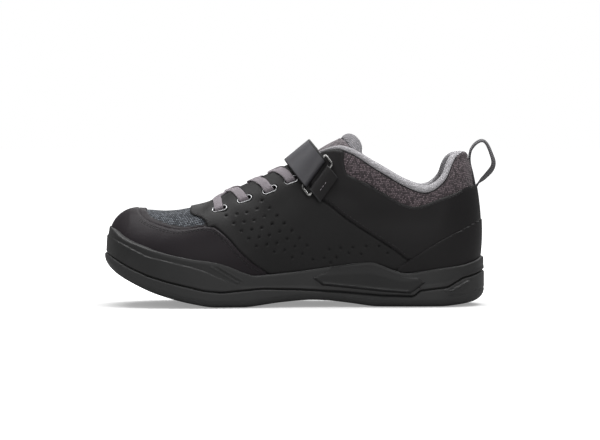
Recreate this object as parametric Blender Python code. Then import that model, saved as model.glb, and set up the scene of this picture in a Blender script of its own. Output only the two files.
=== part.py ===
"""Right-foot mountain bike shoe: cup sole, lasted upper, overlays, tongue, lace, strap and pull loop.

Tables and sizes are in millimetres. X runs from toe (minus) to heel (plus), Y from the inner side (minus)
to the outer side (plus) and Z up from the ground.
"""

import math

import bmesh
import bpy
import numpy as np
from mathutils import Vector

MM = 0.001
CENTRE_X = 4.3
CENTRE_Y = 2.0

GAP = 0.3
WALL = 2.2
UPPER_INSET = 7.0
PAD_FROM = 0.45
RIM_ROWS = 2
UPPER_ROWS = 7
STITCH_LAP = 0.3
OVERLAY_FOOT = 0.05
COLLAR_TO = 9.0
COLLAR_FADE = 1.5
CREST_FROM = 0.97
BELOW = -5.0
BEYOND = 175.0
ACROSS = 75.0
WELD = 0.01
TINY = 0.01
SAME_PLACE = 0.12

CAP_THICK = 1.4
QUARTER_THICK = 1.2
REAR_THICK = 1.7
COUNTER_THICK = 2.2

INSOLE_THICK = 4.5
INSOLE_INSET = 10.4
INSOLE_LIFT = 0.4
GROOVE_WIDE = 4.0
GROOVE_DEEP = 2.5
GROOVE_EDGE = 11.5
# Chevron grooves of the tread: x of the point and how far the arms are swept.
GROOVES = ((-116, 6), (-103, 6), (-90, 6), (-77, 6), (-58, 6), (-45, 6), (-27, 6), (66, -6), (79, -6),
           (92, -6), (105, -6), (124, -6))
# Rolled edge of the tread sole, from its underside up: inset, height over the underside and the least
# distance below the split.
TREAD_EDGE = ((9.0, 0.0, 0.0), (3.2, 0.5, 0.0), (0.9, 2.8, 1.6), (0.0, 5.5, 1.0))
TREAD_SETBACK = 0.4
CUP_SETBACK = 0.9
STEP_LOW = -0.5
STEP_HIGH = 0.3
STEP_SETBACK = 0.2
LIP_LOW = -1.6
LIP_HIGH = -0.3
LIP_ROUND = 0.5
CUP_FOOT = 0.05
CUP_ROWS = (1.0, 0.67, 0.33, 0.0)
PLATE_PLACES = (2.5, 9.0)
PLATE_Y = (5.0, 70.0)
# Section of the raised plate's band: inset from the outline and height.
PLATE_BAND = ((2.5, 5.0), (-0.5, 5.0), (-0.1, 40.0), (2.5, 40.0))

# One row a section, from the back of the heel to the tip of the toe. The sole columns give its outline, the
# top columns the collar, throat or ridge above it, and the rest shape the wall between the two.
SECTION_COLUMNS = ("sole_x", "sole_in", "sole_out", "top_x", "top_mid", "top_half", "top_z",
                   "swell", "rise", "crown", "drop", "rim", "lap")
SECTIONS = (
    (150.0, 0.0, 0.0, 136.3, 0.0, 0.0, 118.0, 5.0, 26.0, 8.5, 30.0, 7.0, 2.5),
    (145.5, 17.0, 17.0, 133.2, 0.0, 10.5, 118.2, 5.5, 26.0, 8.0, 30.0, 7.0, 2.5),
    (134.0, 28.5, 28.5, 126.5, 0.0, 20.0, 114.5, 6.5, 26.0, 6.0, 30.0, 7.5, 2.5),
    (117.0, 35.0, 35.5, 118.0, 0.0, 28.0, 99.5, 7.5, 24.0, 3.5, 24.0, 8.0, 2.5),
    (97.0, 37.5, 38.5, 104.0, 0.0, 32.5, 91.0, 8.0, 22.0, 1.5, 20.0, 8.0, 2.5),
    (75.0, 37.0, 39.5, 86.0, 0.0, 33.5, 94.5, 8.5, 22.0, 1.5, 22.0, 7.5, 2.5),
    (52.0, 35.0, 40.5, 64.5, 0.0, 32.5, 106.0, 8.5, 24.0, 3.5, 26.0, 7.0, 2.0),
    (28.0, 34.5, 42.5, 43.5, -0.5, 28.5, 120.0, 8.5, 26.0, 6.0, 26.0, 5.5, 1.6),
    (4.0, 37.0, 46.0, 26.5, -1.0, 20.5, 122.5, 8.5, 28.0, 10.0, 18.0, 3.6, 1.6),
    (-21.0, 42.0, 50.5, 4.0, -1.0, 16.5, 113.5, 8.5, 28.0, 15.0, 11.0, 2.6, 1.6),
    (-46.0, 47.5, 54.0, -21.0, -1.5, 14.0, 102.0, 8.5, 26.0, 17.0, 10.0, 2.4, 2.0),
    (-70.0, 50.5, 54.5, -45.0, -2.0, 11.5, 91.0, 8.5, 24.0, 19.0, 9.0, 2.4, 2.0),
    (-95.0, 50.0, 50.0, -61.5, -2.5, 8.0, 83.2, 8.0, 21.0, 22.0, 6.0, 2.4, 2.0),
    (-118.5, 46.0, 42.0, -69.5, -3.0, 0.0, 79.3, 7.5, 19.0, 26.0, 2.0, 2.4, 2.0),
    (-137.0, 36.5, 29.0, -93.0, -3.5, 0.0, 74.5, 6.5, 17.0, 25.0, 0.0, 2.4, 2.0),
    (-147.2, 22.0, 12.0, -112.0, -4.0, 0.0, 74.4, 5.5, 15.0, 22.0, 0.0, 2.4, 2.0),
    (-150.0, 5.0, -5.0, -121.0, -4.0, 0.0, 75.2, 5.5, 14.0, 20.0, 0.0, 2.4, 2.0),
)
TOE = len(SECTIONS) - 1
LOOP = 2 * TOE
RIDGE_FROM = 13
# Columns of the closed loop's rows.
SOLE = slice(0, 2)
TOP = slice(2, 5)
TOP_Y = 3
TOP_MID = 5
WALL_SHAPE = slice(6, 10)
RIM = 10
LAP = 11

# Side-view lines of the sole, each as x and z.
BOTTOM_LINE = ((-150, 33.8), (-142, 27), (-133, 21.6), (-120, 15.2), (-109.8, 10.9), (-98, 7.2),
               (-88.3, 4.5), (-78, 2.3), (-69, 0.6), (-64, 0), (-36, 0), (-29, 1.0),
               (-13.9, 3.2), (4, 4.8), (13.5, 5.2),
               (27, 4.6), (45, 2.4), (58, 0.5), (62, 0), (118, 0), (132, 1.5), (144, 3.8), (150, 7.5))
SPLIT_LINE = ((-150, 41.9), (-142, 37.6), (-131.2, 31.7), (-115.2, 24.8), (-99.2, 20), (-83.3, 16.2),
              (-70.4, 13.1), (-56.6, 11.7), (-40.6, 13.1), (-24.6, 14.4), (4, 13.4),
              (35.8, 11.5), (67.6, 8.8), (93, 8.2),
              (98, 12.5), (119.9, 15), (132, 22), (142.2, 24.5), (150, 27.5))
FLOOR_LINE = ((-150, 46.5), (-142, 42.5), (-131, 37), (-115, 30), (-99, 25.2), (-83, 21), (-70, 18.4),
              (-56, 17.2), (-30, 19), (0, 20.4), (30, 21.8), (60, 23), (100, 25), (128, 27),
              (142, 29.5), (150, 31.5))
RIM_LINE = ((-150, 62.5), (-144.6, 61), (-140.8, 56.6), (-131.2, 51.4), (-115.2, 45.5), (-99.2, 41.3),
            (-80, 37.5), (-70.4, 36.4), (-60.8, 34.8), (-50.1, 31.2), (-40.6, 27.6), (-31.5, 24.8),
            (-13.9, 26.2), (4, 28.1), (21.5, 30.6), (43.9, 33.7), (57, 34.9), (62, 34.5),
            (75.1, 29.5), (85.2, 26.5), (90.8, 26.7),
            (110.9, 29.8), (133.3, 32.6), (144.4, 35.7), (150, 38.9))
STEP_LINE = ((-150, 55.5), (-140, 51.5), (-115.4, 40.1), (-79.6, 31.6), (-70, 28.5), (-47, 18.3),
             (-40, 16.5), (0, 16.5), (93, 12.5), (98, 16.5), (120, 19), (132, 25), (150, 31))
STEP_INSET = ((-150, 0.7), (-60, 0.7), (-44, 0), (150, 0))
RIM_LEAN = ((-150, 3.6), (-138, 2.2), (-110, 1.2), (110, 1.0), (150, 0.5))
SOLE_CORNERS = (-64, -36, -31.5, 13.5, 57, 62, 85.2, 93, 98, 118, 119.9, 132)

# Raised plate at the waist of the cup's side, as x and z.
ARCH_PLATE = ((10, 27.2), (14.3, 23), (21.5, 17.2), (66, 11.6), (90, 10.2), (101, 20.3), (97, 24.2),
              (85, 24), (62, 32.2), (55, 32.5), (24, 28.4))

# Seams of the overlays in side view, as x and z.
CAP_EDGE = ((-124.2, 95), (-123.4, 76.5), (-121.8, 72.8), (-115.2, 67.5), (-99.2, 62.2), (-88.6, 60.8),
            (-72.6, 63), (-63.5, 63.2))
CAP_SEAM = ((-63.5, 63.2), (-56.6, 58.2), (-50.1, 52), (-42.7, 43.5), (-32.1, 34), (-22.4, 27), (-6, 12))
STAY_FRONT = ((-82.5, 95), (-81.6, 75), (-79.5, 73.2), (-73.6, 71.9), (-69.6, 67), (-68.2, 62.9))
REAR_FRONT = ((8, 140), (9.5, 106), (12.5, 95), (17.4, 87.3), (28, 79.6), (40.8, 69.2), (60, 56.4),
              (79.2, 44), (87, 37.5))
QUARTER_HEEL = (79.6, 31.2)
COUNTER_TOP = ((80, 30.5), (87.5, 35.4), (102.6, 45.5), (119.7, 55.2), (148.5, 69), (170, 79))
COLLAR_SEAM = ((170, 97), (143.2, 94.6), (134.7, 93), (125.5, 88.8), (113.3, 84.5), (101.2, 80),
               (93.9, 78.6), (89, 79.2), (79.8, 82.8), (67.3, 90.6), (58.1, 95.5), (49, 100.2),
               (41, 104.2), (38, 113.5), (37, 140))
CAP_FOOT = 10
COUNTER_FOOT = 80
SEAM_HALF = 0.2

# Tongue, a row a section from under the vamp to its padded top.
TONGUE_COLUMNS = ("x", "z", "half", "sag", "thick")
TONGUE = (
    (-84.0, 73.3, 14.0, 4.2, 2.6),
    (-68.0, 76.4, 17.0, 6.0, 3.4),
    (-44.0, 88.6, 19.5, 8.5, 4.2),
    (-18.0, 101.0, 21.5, 10.5, 4.6),
    (8.0, 113.4, 20.5, 10.0, 5.4),
    (25.0, 123.6, 16.8, 7.5, 7.0),
    (34.0, 129.8, 16.2, 6.5, 9.0),
    (41.0, 133.6, 17.0, 6.5, 12.0),
    (46.0, 132.6, 17.0, 6.5, 11.0),
    (49.6, 128.6, 16.0, 6.0, 7.0),
    (51.4, 125.0, 14.5, 5.0, 2.6),
)
TONGUE_MID = -1.0
TONGUE_ACROSS = 6
TONGUE_TAPER = 0.7

# Slot eyelets of one side, toe end first, as x and z in side view.
EYELETS = ((-59.7, 77.0), (-40.0, 84.2), (-20.6, 92.2), (-4.6, 98.8))
SLOT_LONG = 10.4
SLOT_WIDE = 4.4
SLOT_RIM = 0.7
SLOT_CLEAR = 0.35
SLOT_PROUD = 0.5
SLOT_ARC = 4
SLOT_CUT = (-7.0, 5.0)
SLEEVE_IN = -1.6
STAY_PLACE = (10.5, 0.8)

LACE_WIDE = 7.0
LACE_THICK = 1.2
LACE_CLEAR = 0.7
LACE_LEAN = 0.45
LACE_STEPS = 2
CROSS_BACK = 5.0
CROSS_SLOPE = 0.46
CROSS_LIFT = 1.2
CROSS_REACH = 0.5
BAR_FORWARD = 3.0
BAR_LIFT = 1.5

# Turn-back strap, drawn across the instep as y and depth below its crown: up from the outer side, over the
# instep, round the ring's upper bar and back over itself. Slant and twist lay it on the tapering instep.
STRAP_CROWN = (1.75, 122.2)
STRAP_RUN = (0.777, 0.629)
STRAP_WIDE = 25.8
STRAP_THICK = 1.6
STRAP_SLANT = 0.26
STRAP_TWIST = 0.22
STRAP_FULL = 20.4
STRAP_FLAT = 3.0
STRAP_PATH = ((35.0, 36.0), (33.2, 30.0), (31.0, 23.6), (29.1, 18.2), (27.0, 13.9), (23.0, 8.7),
              (19.9, 5.5), (15.6, 2.5), (0.0, 2.3), (-15.5, 2.3),
              (-18.6, 3.1), (-21.0, 5.4), (-25.0, 9.8),
              (-27.6, 14.6), (-28.9, 18.4), (-29.5, 21.3), (-30.7, 22.6), (-32.3, 22.7), (-33.6, 21.5),
              (-33.7, 19.8), (-32.4, 15.2), (-29.6, 10.0), (-25.6, 5.4), (-21.6, 1.9), (-17.2, 0.4),
              (0.0, 0.3), (16.5, 0.45), (20.6, 2.4), (24.4, 5.9))
RING_BARS = ((-31.6, 20.6), (-34.7, 29.7))
RING_WIRE = 1.05
RING_ENDS = (-14.8, 14.9)
RING_CORNER = 1.5
RING_ARC = 4
TAB_PATH = ((-35.3, 39.5), (-34.7, 36.5), (-33.4, 33.0), (-32.4, 30.4), (-32.7, 28.3), (-34.1, 27.2),
            (-35.8, 27.5), (-36.9, 29.4), (-37.2, 33.0), (-37.3, 36.5), (-37.4, 39.5))
TAB_SIDES = (-11.5, 7.5)
TAB_THICK = 1.2

# Pull loop behind the heel, as x and z.
LOOP_PATH = ((143.0, 95.8), (141.0, 104.0), (139.2, 111.5), (138.8, 117.5), (140.0, 123.6), (143.4, 128.4),
             (148.0, 130.4), (151.9, 128.2), (156.0, 120.4), (158.1, 112.6), (156.8, 107.2), (151.7, 101.4),
             (147.6, 97.8), (145.4, 95.8))
LOOP_WIDE = 9.0
LOOP_THICK = 1.3


def clear_scene():
    """Removes what a new file starts with."""
    for obj in list(bpy.data.objects):
        bpy.data.objects.remove(obj, do_unlink=True)


def finish(name, colour, roughness, metallic=0.0):
    """A plain material of one colour."""
    made = bpy.data.materials.new(name)
    made.use_nodes = True
    shader = made.node_tree.nodes["Principled BSDF"]
    shader.inputs["Base Color"].default_value = (*colour, 1.0)
    shader.inputs["Roughness"].default_value = roughness
    shader.inputs["Metallic"].default_value = metallic
    return made


def on_line(line, x):
    """Height of a side-view line at x."""
    xs, zs = zip(*line)
    return float(np.interp(x, xs, zs))


def closed_rows():
    """The section rows in one closed loop: inner side from heel to toe, outer side back to the heel."""
    rows = []
    for index in range(LOOP):
        side = -1 if index <= TOE else 1
        row = dict(zip(SECTION_COLUMNS, SECTIONS[index if index <= TOE else LOOP - index]))
        sole_y = -row["sole_in"] if side < 0 else row["sole_out"]
        top_y = row["top_mid"] + side * row["top_half"]
        shape = [row[name] for name in SECTION_COLUMNS[7:]]
        rows.append([row["sole_x"], sole_y, row["top_x"], top_y, row["top_z"], row["top_mid"], *shape])
    return np.array(rows)


LOOP_ROWS = closed_rows()


def section(k):
    """The section's values at place k of the loop, on a smooth closed curve through the rows."""
    first = math.floor(k)
    t = k - first
    row = between(*(LOOP_ROWS[(first + step) % LOOP] for step in (-1, 0, 1, 2)), t)
    if on_ridge(k):
        row[TOP_Y] = row[TOP_MID]
    return row


def between(a, b, c, d, t):
    """Value at share t from b to c on a smooth curve that also passes a and d."""
    bend = (2 * a - 5 * b + 4 * c - d) * t ** 2 + (3 * b - a - 3 * c + d) * t ** 3
    return 0.5 * (2 * b + (c - a) * t + bend)


def on_ridge(k):
    """True where the two sides meet along the vamp instead of ending at an opening."""
    return RIDGE_FROM - 1e-9 <= k % LOOP <= LOOP - RIDGE_FROM + 1e-9


def outline(k, inset=0.0):
    """Point of the sole's outline in plan at place k, moved inwards, and the outward direction there."""
    run = section(k + TINY)[SOLE] - section(k - TINY)[SOLE]
    out = np.array((-run[1], run[0])) / np.hypot(*run)
    return section(k)[SOLE] - out * inset, out


def wall_point(k, v):
    """Point of the upper's outer face: v is 0 at the sole and 1 at the collar, throat or ridge."""
    row = section(k)
    base, out = outline(k, UPPER_INSET)
    out = np.array((*out, 0.0))
    up = np.array((0.0, 0.0, 1.0))
    swell, rise, crown, drop = row[WALL_SHAPE]
    start = np.array((*base, on_line(FLOOR_LINE, base[0]) + GAP))
    end = row[TOP]
    low = start + out * swell + up * rise
    high = end + out * crown - up * drop
    u = 1 - v
    return u ** 3 * start + 3 * u * u * v * low + 3 * u * v * v * high + v ** 3 * end


def wall_normal(k, v):
    """Outward direction of the upper's outer face."""
    if v > 0.999 and on_ridge(k):
        return np.array((0.0, 0.0, 1.0))
    along = wall_point(k + TINY, v) - wall_point(k - TINY, v)
    low, high = max(v - TINY, 0.0), min(v + TINY, 1.0)
    rise = wall_point(k, high) - wall_point(k, low)
    normal = np.cross(rise, along)
    return normal / np.linalg.norm(normal)


def skin(k, v, offset):
    """Point that lies off the upper's outer face, outwards."""
    return wall_point(k, v) + wall_normal(k, v) * offset


def skin_at(k, z, offset):
    """Point off the upper's outer face at height z."""
    low, high = 0.0, 0.9
    for _ in range(24):
        middle = (low + high) / 2
        if skin(k, middle, offset)[2] < z:
            low = middle
        else:
            high = middle
    return skin(k, low, offset)


def find_on_side(x, z, side):
    """Place k and v of the upper's outer face that shows at x and z in side view."""
    k, v = STAY_PLACE
    for _ in range(30):
        here = wall_point(k, v)[[0, 2]]
        by_k = (wall_point(k + TINY, v)[[0, 2]] - here) / TINY
        by_v = (wall_point(k, v + TINY)[[0, 2]] - here) / TINY
        dk, dv = np.linalg.solve(np.column_stack((by_k, by_v)), np.array((x, z)) - here)
        k, v = k + np.clip(dk, -1, 1), min(max(v + np.clip(dv, -0.1, 0.1), 0.05), 0.99)
    return (k if side < 0 else LOOP - k), v


def wall_thickness(k, v):
    """Thickness of the upper, which is padded towards the collar."""
    rim = section(k)[RIM]
    share = min(max((v - PAD_FROM) / (1 - PAD_FROM), 0.0), 1.0)
    return WALL + (rim - WALL) * share * share * (3 - 2 * share)


def half_loop():
    """Places of the sections from heel to toe, with one between each two rows."""
    return [step / 2 for step in range(2 * TOE + 1)]


def whole_loop(half):
    """A side's places followed by the other side's, as one closed loop."""
    return half + [LOOP - k for k in reversed(half[1:-1])]


def place_at(x):
    """Place k on the inner side where the outline passes x."""
    low, high = 0.0, float(TOE)
    for _ in range(40):
        middle = (low + high) / 2
        if section(middle)[0] > x:
            low = middle
        else:
            high = middle
    return low


def sole_half():
    """Places for the sole: those of the upper and the corners of its side lines."""
    corners = [place_at(x) for x in SOLE_CORNERS]
    kept = [k for k in half_loop() if all(abs(k - corner) > SAME_PLACE for corner in corners)]
    return sorted(kept + corners)


def solid(name, points, faces, skin_finish=None, collection=None):
    """One closed mesh object from points in millimetres."""
    mesh = bpy.data.meshes.new(name)
    mesh.from_pydata([Vector(point) * MM for point in points], [], faces)
    work = bmesh.new()
    work.from_mesh(mesh)
    bmesh.ops.remove_doubles(work, verts=work.verts, dist=WELD * MM)
    bmesh.ops.recalc_face_normals(work, faces=work.faces)
    work.to_mesh(mesh)
    work.free()
    return placed(bpy.data.objects.new(name, mesh), skin_finish, collection)


def placed(obj, skin_finish, collection):
    """Links an object; a part hangs from the root, a cutter is hidden."""
    (collection or PARTS).objects.link(obj)
    obj.parent = ROOT
    if collection == CUTTERS:
        obj.hide_render = True
        obj.display_type = "WIRE"
    if skin_finish:
        obj.data.materials.append(skin_finish)
    return obj


def loft(rows, caps=True):
    """Points and faces through closed rows of equal length, the end rows closed by strips across."""
    count = len(rows[0])
    points = [point for row in rows for point in row]
    faces = []
    for j in range(len(rows) - 1):
        for i in range(count):
            n = (i + 1) % count
            faces.append((j * count + i, j * count + n, (j + 1) * count + n, (j + 1) * count + i))
    if caps:
        for j in (0, len(rows) - 1):
            faces += strips_across(count, j * count)
    return points, faces


def strips_across(count, first):
    """Faces from side to side that close a row which is the same on both sides of its two ends."""
    half = count // 2
    faces = [(first, first + 1, first + count - 1), (first + half - 1, first + half, first + half + 1)]
    for i in range(1, half - 1):
        faces.append((first + i, first + i + 1, first + count - i - 1, first + count - i))
    return faces


def capped(rows):
    """Points and faces through closed rows of equal length, each end closed by one face."""
    points, faces = loft(rows, caps=False)
    count = len(rows[0])
    return points, faces + [tuple(range(count)), tuple(range(len(points) - count, len(points)))]


def tube(rows):
    """Points and faces through closed rows that end where they began."""
    points, faces = loft(rows, caps=False)
    count = len(rows[0])
    last = (len(rows) - 1) * count
    for i in range(count):
        n = (i + 1) % count
        faces.append((last + i, last + n, n, i))
    return points, faces


def prism(name, polygon, direction, low, high, collection=None):
    """Solid between two copies of a polygon, which is drawn in side view (Y) or in plan (Z)."""
    def corner(a, b, depth):
        return (a, depth, b) if direction == "Y" else (a, b, depth)
    rows = [[corner(a, b, depth) for a, b in polygon] for depth in (low, high)]
    return solid(name, *capped(rows), collection=collection)


def joined(obj, other, operation):
    """Works a Boolean with another object into a mesh for good."""
    change = obj.modifiers.new(operation.lower(), "BOOLEAN")
    change.operation = operation
    change.solver = "EXACT"
    change.object = other
    bpy.context.view_layer.update()
    shaped = bpy.data.meshes.new_from_object(obj.evaluated_get(bpy.context.evaluated_depsgraph_get()))
    obj.modifiers.clear()
    obj.data = shaped
    return obj


def smooth(points, steps):
    """Points of a smooth open curve through rows of equal length."""
    rows = np.array([points[0], *points, points[-1]], float)
    rows[0] = 2 * rows[1] - rows[2]
    rows[-1] = 2 * rows[-2] - rows[-3]
    found = []
    for i in range(1, len(rows) - 2):
        a, b, c, d = rows[i - 1:i + 3]
        found += [between(a, b, c, d, step / steps) for step in range(steps)]
    return found + [rows[-2]]


def moved(line, dx, dz):
    """A side-view line at a small distance from itself."""
    return [(x + dx, z + dz) for x, z in line]


def sole_row(places, inset, line, lift=0.0, below_split=0.0):
    """A row of the sole: the outline moved inwards, lifted off a side-view line but kept below the split."""
    row = []
    for k in places:
        amount = inset if not callable(inset) else inset(section(k)[0])
        point, _ = outline(k, amount)
        z = on_line(line, point[0]) + lift
        if below_split:
            z = min(z, on_line(SPLIT_LINE, point[0]) - below_split)
        row.append((point[0], point[1], z))
    return row


def make_outsole(rubber):
    """Tread sole with a rolled edge, flat at heel and forefoot, and chevron grooves between its lugs."""
    places = whole_loop(sole_half())
    rows = [sole_row(places, inset, BOTTOM_LINE, lift, below) for inset, lift, below in TREAD_EDGE]
    rows.append(sole_row(places, TREAD_SETBACK, SPLIT_LINE, -GAP / 2))
    sole = solid("outsole", *loft(rows), rubber)
    for number, (x, rake) in enumerate(GROOVES):
        k = place_at(x)
        inner = outline(k)[0][1] + GROOVE_EDGE
        outer = outline(LOOP - k)[0][1] - GROOVE_EDGE
        middle = (inner + outer) / 2
        shape = [(x, middle), (x + rake, inner), (x + rake + GROOVE_WIDE, inner), (x + GROOVE_WIDE, middle),
                 (x + rake + GROOVE_WIDE, outer), (x + rake, outer)]
        top = on_line(BOTTOM_LINE, x + GROOVE_WIDE / 2 + rake / 2) + GROOVE_DEEP
        cutter = prism(f"groove_{number}", shape, "Z", BELOW, top, CUTTERS)
        joined(sole, cutter, "DIFFERENCE")


def make_midsole(rubber):
    """Cup that the upper stands in: an outer wall with a step, a lip, the cup's inside and its floor."""
    places = whole_loop(sole_half())

    def lean(x):
        return on_line(RIM_LEAN, x)

    def above_step(x):
        return lean(x) / 2 + STEP_SETBACK + on_line(STEP_INSET, x)

    rows = [
        sole_row(places, CUP_SETBACK, SPLIT_LINE, GAP / 2),
        sole_row(places, lambda x: lean(x) / 2, STEP_LINE, STEP_LOW),
        sole_row(places, above_step, STEP_LINE, STEP_HIGH),
        sole_row(places, lean, RIM_LINE, LIP_LOW),
        sole_row(places, lambda x: lean(x) + LIP_ROUND, RIM_LINE, LIP_HIGH),
    ]
    for share in CUP_ROWS:
        row = []
        for k in places:
            x = section(k)[0]
            reach = section(k)[LAP] + GAP
            low = on_line(FLOOR_LINE, outline(k, UPPER_INSET)[0][0]) + GAP + CUP_FOOT
            high = on_line(RIM_LINE, outline(k, lean(x))[0][0])
            row.append(skin_at(k, low + share * (high - low), reach) if share else cup_corner(k, reach))
        rows.append(row)
    cup = solid("midsole", *loft(rows), rubber)
    for side in (-1, 1):
        joined(cup, arch_plate(side), "UNION")


def cup_corner(k, reach):
    """Where the cup's inside meets its floor."""
    point = skin(k, 0.0, reach)
    return (point[0], point[1], on_line(FLOOR_LINE, point[0]))


def arch_plate(side):
    """Plate raised from the cup's wall, cut from a band between two offsets of the sole's outline."""
    half = [k for k in sole_half() if PLATE_PLACES[0] < k < PLATE_PLACES[1]]
    half = [k if side < 0 else LOOP - k for k in half]
    sections = [[(*outline(k, inset)[0], z) for inset, z in PLATE_BAND] for k in half]
    band = solid(f"plate_band_{side}", *capped(sections), collection=CUTTERS)
    low, high = sorted(side * y for y in PLATE_Y)
    cutter = prism(f"plate_shape_{side}", ARCH_PLATE, "Y", low, high, CUTTERS)
    return joined(band, cutter, "INTERSECT")


def make_insole(foam):
    """Footbed that lies on the cup's floor inside the upper."""
    places = whole_loop(half_loop())
    rows = [sole_row(places, INSOLE_INSET, FLOOR_LINE, INSOLE_LIFT),
            sole_row(places, INSOLE_INSET, FLOOR_LINE, INSOLE_THICK)]
    solid("insole", *loft(rows), foam)


def shell_of(name, inner_at, outer_at, foot, rim_rows, skin_finish):
    """Closed shell between two faces that follow the upper, open at collar, throat and underneath."""
    places = whole_loop(half_loop())
    heights = [foot, *(j / UPPER_ROWS for j in range(1, UPPER_ROWS + 1))]
    outer = [[outer_at(k, v) for v in heights] for k in places]
    inner = [[inner_at(k, v) for v in reversed(heights)] for k in places]
    columns = []
    for i, k in enumerate(places):
        columns.append(outer[i] + rim_points(k, outer[i][-1], inner[i][0], rim_rows) + inner[i])
    count = len(columns[0])
    points = [point for column in columns for point in column]
    crest = range(UPPER_ROWS, UPPER_ROWS + rim_rows + 1)
    faces = []
    for i, k in enumerate(places):
        n = (i + 1) % len(places)
        seam = on_ridge(k) and on_ridge(places[n])
        for j in range(count):
            if seam and j in crest:
                continue
            m = (j + 1) % count
            a, b, c, d = i * count + j, n * count + j, n * count + m, i * count + m
            faces += [(a, b, d), (b, c, d)] if j > crest[-1] else [(a, b, c), (a, c, d)]
    return solid(name, points, faces, skin_finish)


def rim_points(k, outer, inner, rows):
    """Points over the edge from outer to inner face: rounded along the collar, straight at the throat."""
    middle = (outer + inner) / 2
    half = (outer - inner) / 2
    rise = wall_point(k, 1.0) - wall_point(k, CREST_FROM)
    rise = rise / np.linalg.norm(rise)
    near = min(k, LOOP - k)
    swell = np.linalg.norm(half) * min(max((COLLAR_TO - near) / COLLAR_FADE, 0.0), 1.0)
    angles = [math.pi * (row + 1) / (rows + 1) for row in range(rows)]
    return [middle + half * math.cos(angle) + rise * swell * math.sin(angle) for angle in angles]


def make_upper(knit, slots):
    """The lasted upper: one hollow shell with a padded collar and punched eyelet slots."""
    upper = shell_of("upper", lambda k, v: skin(k, v, -wall_thickness(k, v)), wall_point, 0.0,
                     RIM_ROWS, knit)
    for slot in slots:
        joined(upper, slot, "DIFFERENCE")


def overlay(name, polygon, thick, skin_finish, slots=()):
    """A panel of the upper: a shell between two larger forms of it, cut to a side-view outline."""
    panel = shell_of(name, lambda k, v: skin(k, v, STITCH_LAP), lambda k, v: skin(k, v, STITCH_LAP + thick),
                     OVERLAY_FOOT, 0, skin_finish)
    cutter = prism(f"{name}_outline", polygon, "Y", -ACROSS, ACROSS, CUTTERS)
    joined(panel, cutter, "INTERSECT")
    for slot in slots:
        joined(panel, slot, "DIFFERENCE")


def make_overlays(leather, slots):
    """Toe cap, front quarter, rear quarter and heel counter, side by side on the upper."""
    half = SEAM_HALF
    cap = [(-BEYOND, BELOW), (-BEYOND, CAP_EDGE[0][1]), *moved(CAP_EDGE, 0, -half),
           *moved(CAP_SEAM[1:], -half, -half), (CAP_FOOT, BELOW)]
    overlay("toe_cap", cap, CAP_THICK, leather["cap"])
    quarter = [*moved(STAY_FRONT, 0, half), *moved(CAP_SEAM, half, half), (CAP_FOOT, BELOW),
               (QUARTER_HEEL[0], BELOW), QUARTER_HEEL, *moved(reversed(REAR_FRONT), -half, -half)]
    overlay("quarter", quarter, QUARTER_THICK, leather["quarter"], slots)
    rear = [*moved(REAR_FRONT, half, half), *moved(COUNTER_TOP[2:], 0, half), *COLLAR_SEAM]
    overlay("rear_quarter", rear, REAR_THICK, leather["rear"])
    counter = [(COUNTER_FOOT + half, BELOW), *moved(COUNTER_TOP, 2 * half, -half), (BEYOND, BELOW)]
    overlay("heel_counter", counter, COUNTER_THICK, leather["counter"])


def slot_frames():
    """Each eyelet's name, centre on the outer face, and its long, short and outward directions."""
    frames = []
    for side, word in ((-1, "in"), (1, "out")):
        for number, (x, z) in enumerate(EYELETS, 1):
            k, v = find_on_side(x, z, side)
            out = wall_normal(k, v)
            long = wall_point(k + TINY, v) - wall_point(k - TINY, v)
            long = long - out * np.dot(long, out)
            long = long / np.linalg.norm(long)
            frames.append((f"{word}_{number}", wall_point(k, v), long, np.cross(out, long), out))
    return frames


def slot_ring(frame, grow, depth):
    """Points round a slot, grown outwards, at a depth along its outward direction."""
    _, centre, long, short, out = frame
    radius = SLOT_WIDE / 2 + grow
    straight = (SLOT_LONG - SLOT_WIDE) / 2
    ring = []
    for end in (1, -1):
        for step in range(SLOT_ARC):
            angle = math.pi * step / (SLOT_ARC - 1) - math.pi / 2
            ring.append(centre + long * end * (straight + radius * math.cos(angle))
                        + short * end * radius * math.sin(angle) + out * depth)
    return ring


def slot_cutters():
    """Hidden solids that punch the slots through the upper and its front quarter."""
    cutters = []
    for frame in slot_frames():
        rows = [slot_ring(frame, SLOT_RIM + SLOT_CLEAR, depth) for depth in SLOT_CUT]
        cutters.append(solid(f"slot_{frame[0]}", *capped(rows), collection=CUTTERS))
    return cutters


def make_eyelets(metal):
    """Slot eyelets: short sleeves with a thin rim, clear of the punched slots."""
    top = STITCH_LAP + QUARTER_THICK + SLOT_PROUD
    for frame in slot_frames():
        rows = [slot_ring(frame, SLOT_RIM, SLEEVE_IN), slot_ring(frame, SLOT_RIM, top),
                slot_ring(frame, 0.0, top), slot_ring(frame, 0.0, SLEEVE_IN)]
        solid(f"eyelet_{frame[0]}", *tube(rows), metal)


def make_tongue(knit):
    """Tongue under the throat, thin at the vamp and padded at its top."""
    across = np.linspace(-1, 1, TONGUE_ACROSS + 1)
    sections = []
    for values in TONGUE:
        row = dict(zip(TONGUE_COLUMNS, values))
        top = [(row["x"], TONGUE_MID + row["half"] * a, row["z"] - row["sag"] * a * a) for a in across]
        edge = [1 - TONGUE_TAPER * a ** 6 for a in across]
        low = [(x, y, z - row["thick"] * share) for (x, y, z), share in zip(top, edge)]
        sections.append(top + low[::-1])
    solid("tongue", *capped(sections), knit)


def flat_normals(path):
    """Directions square to a flat path, at each of its points."""
    path = np.array(path, float)
    run = np.gradient(path, axis=0)
    run = run / np.linalg.norm(run, axis=1)[:, None]
    return path, np.column_stack((run[:, 1], -run[:, 0]))


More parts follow.
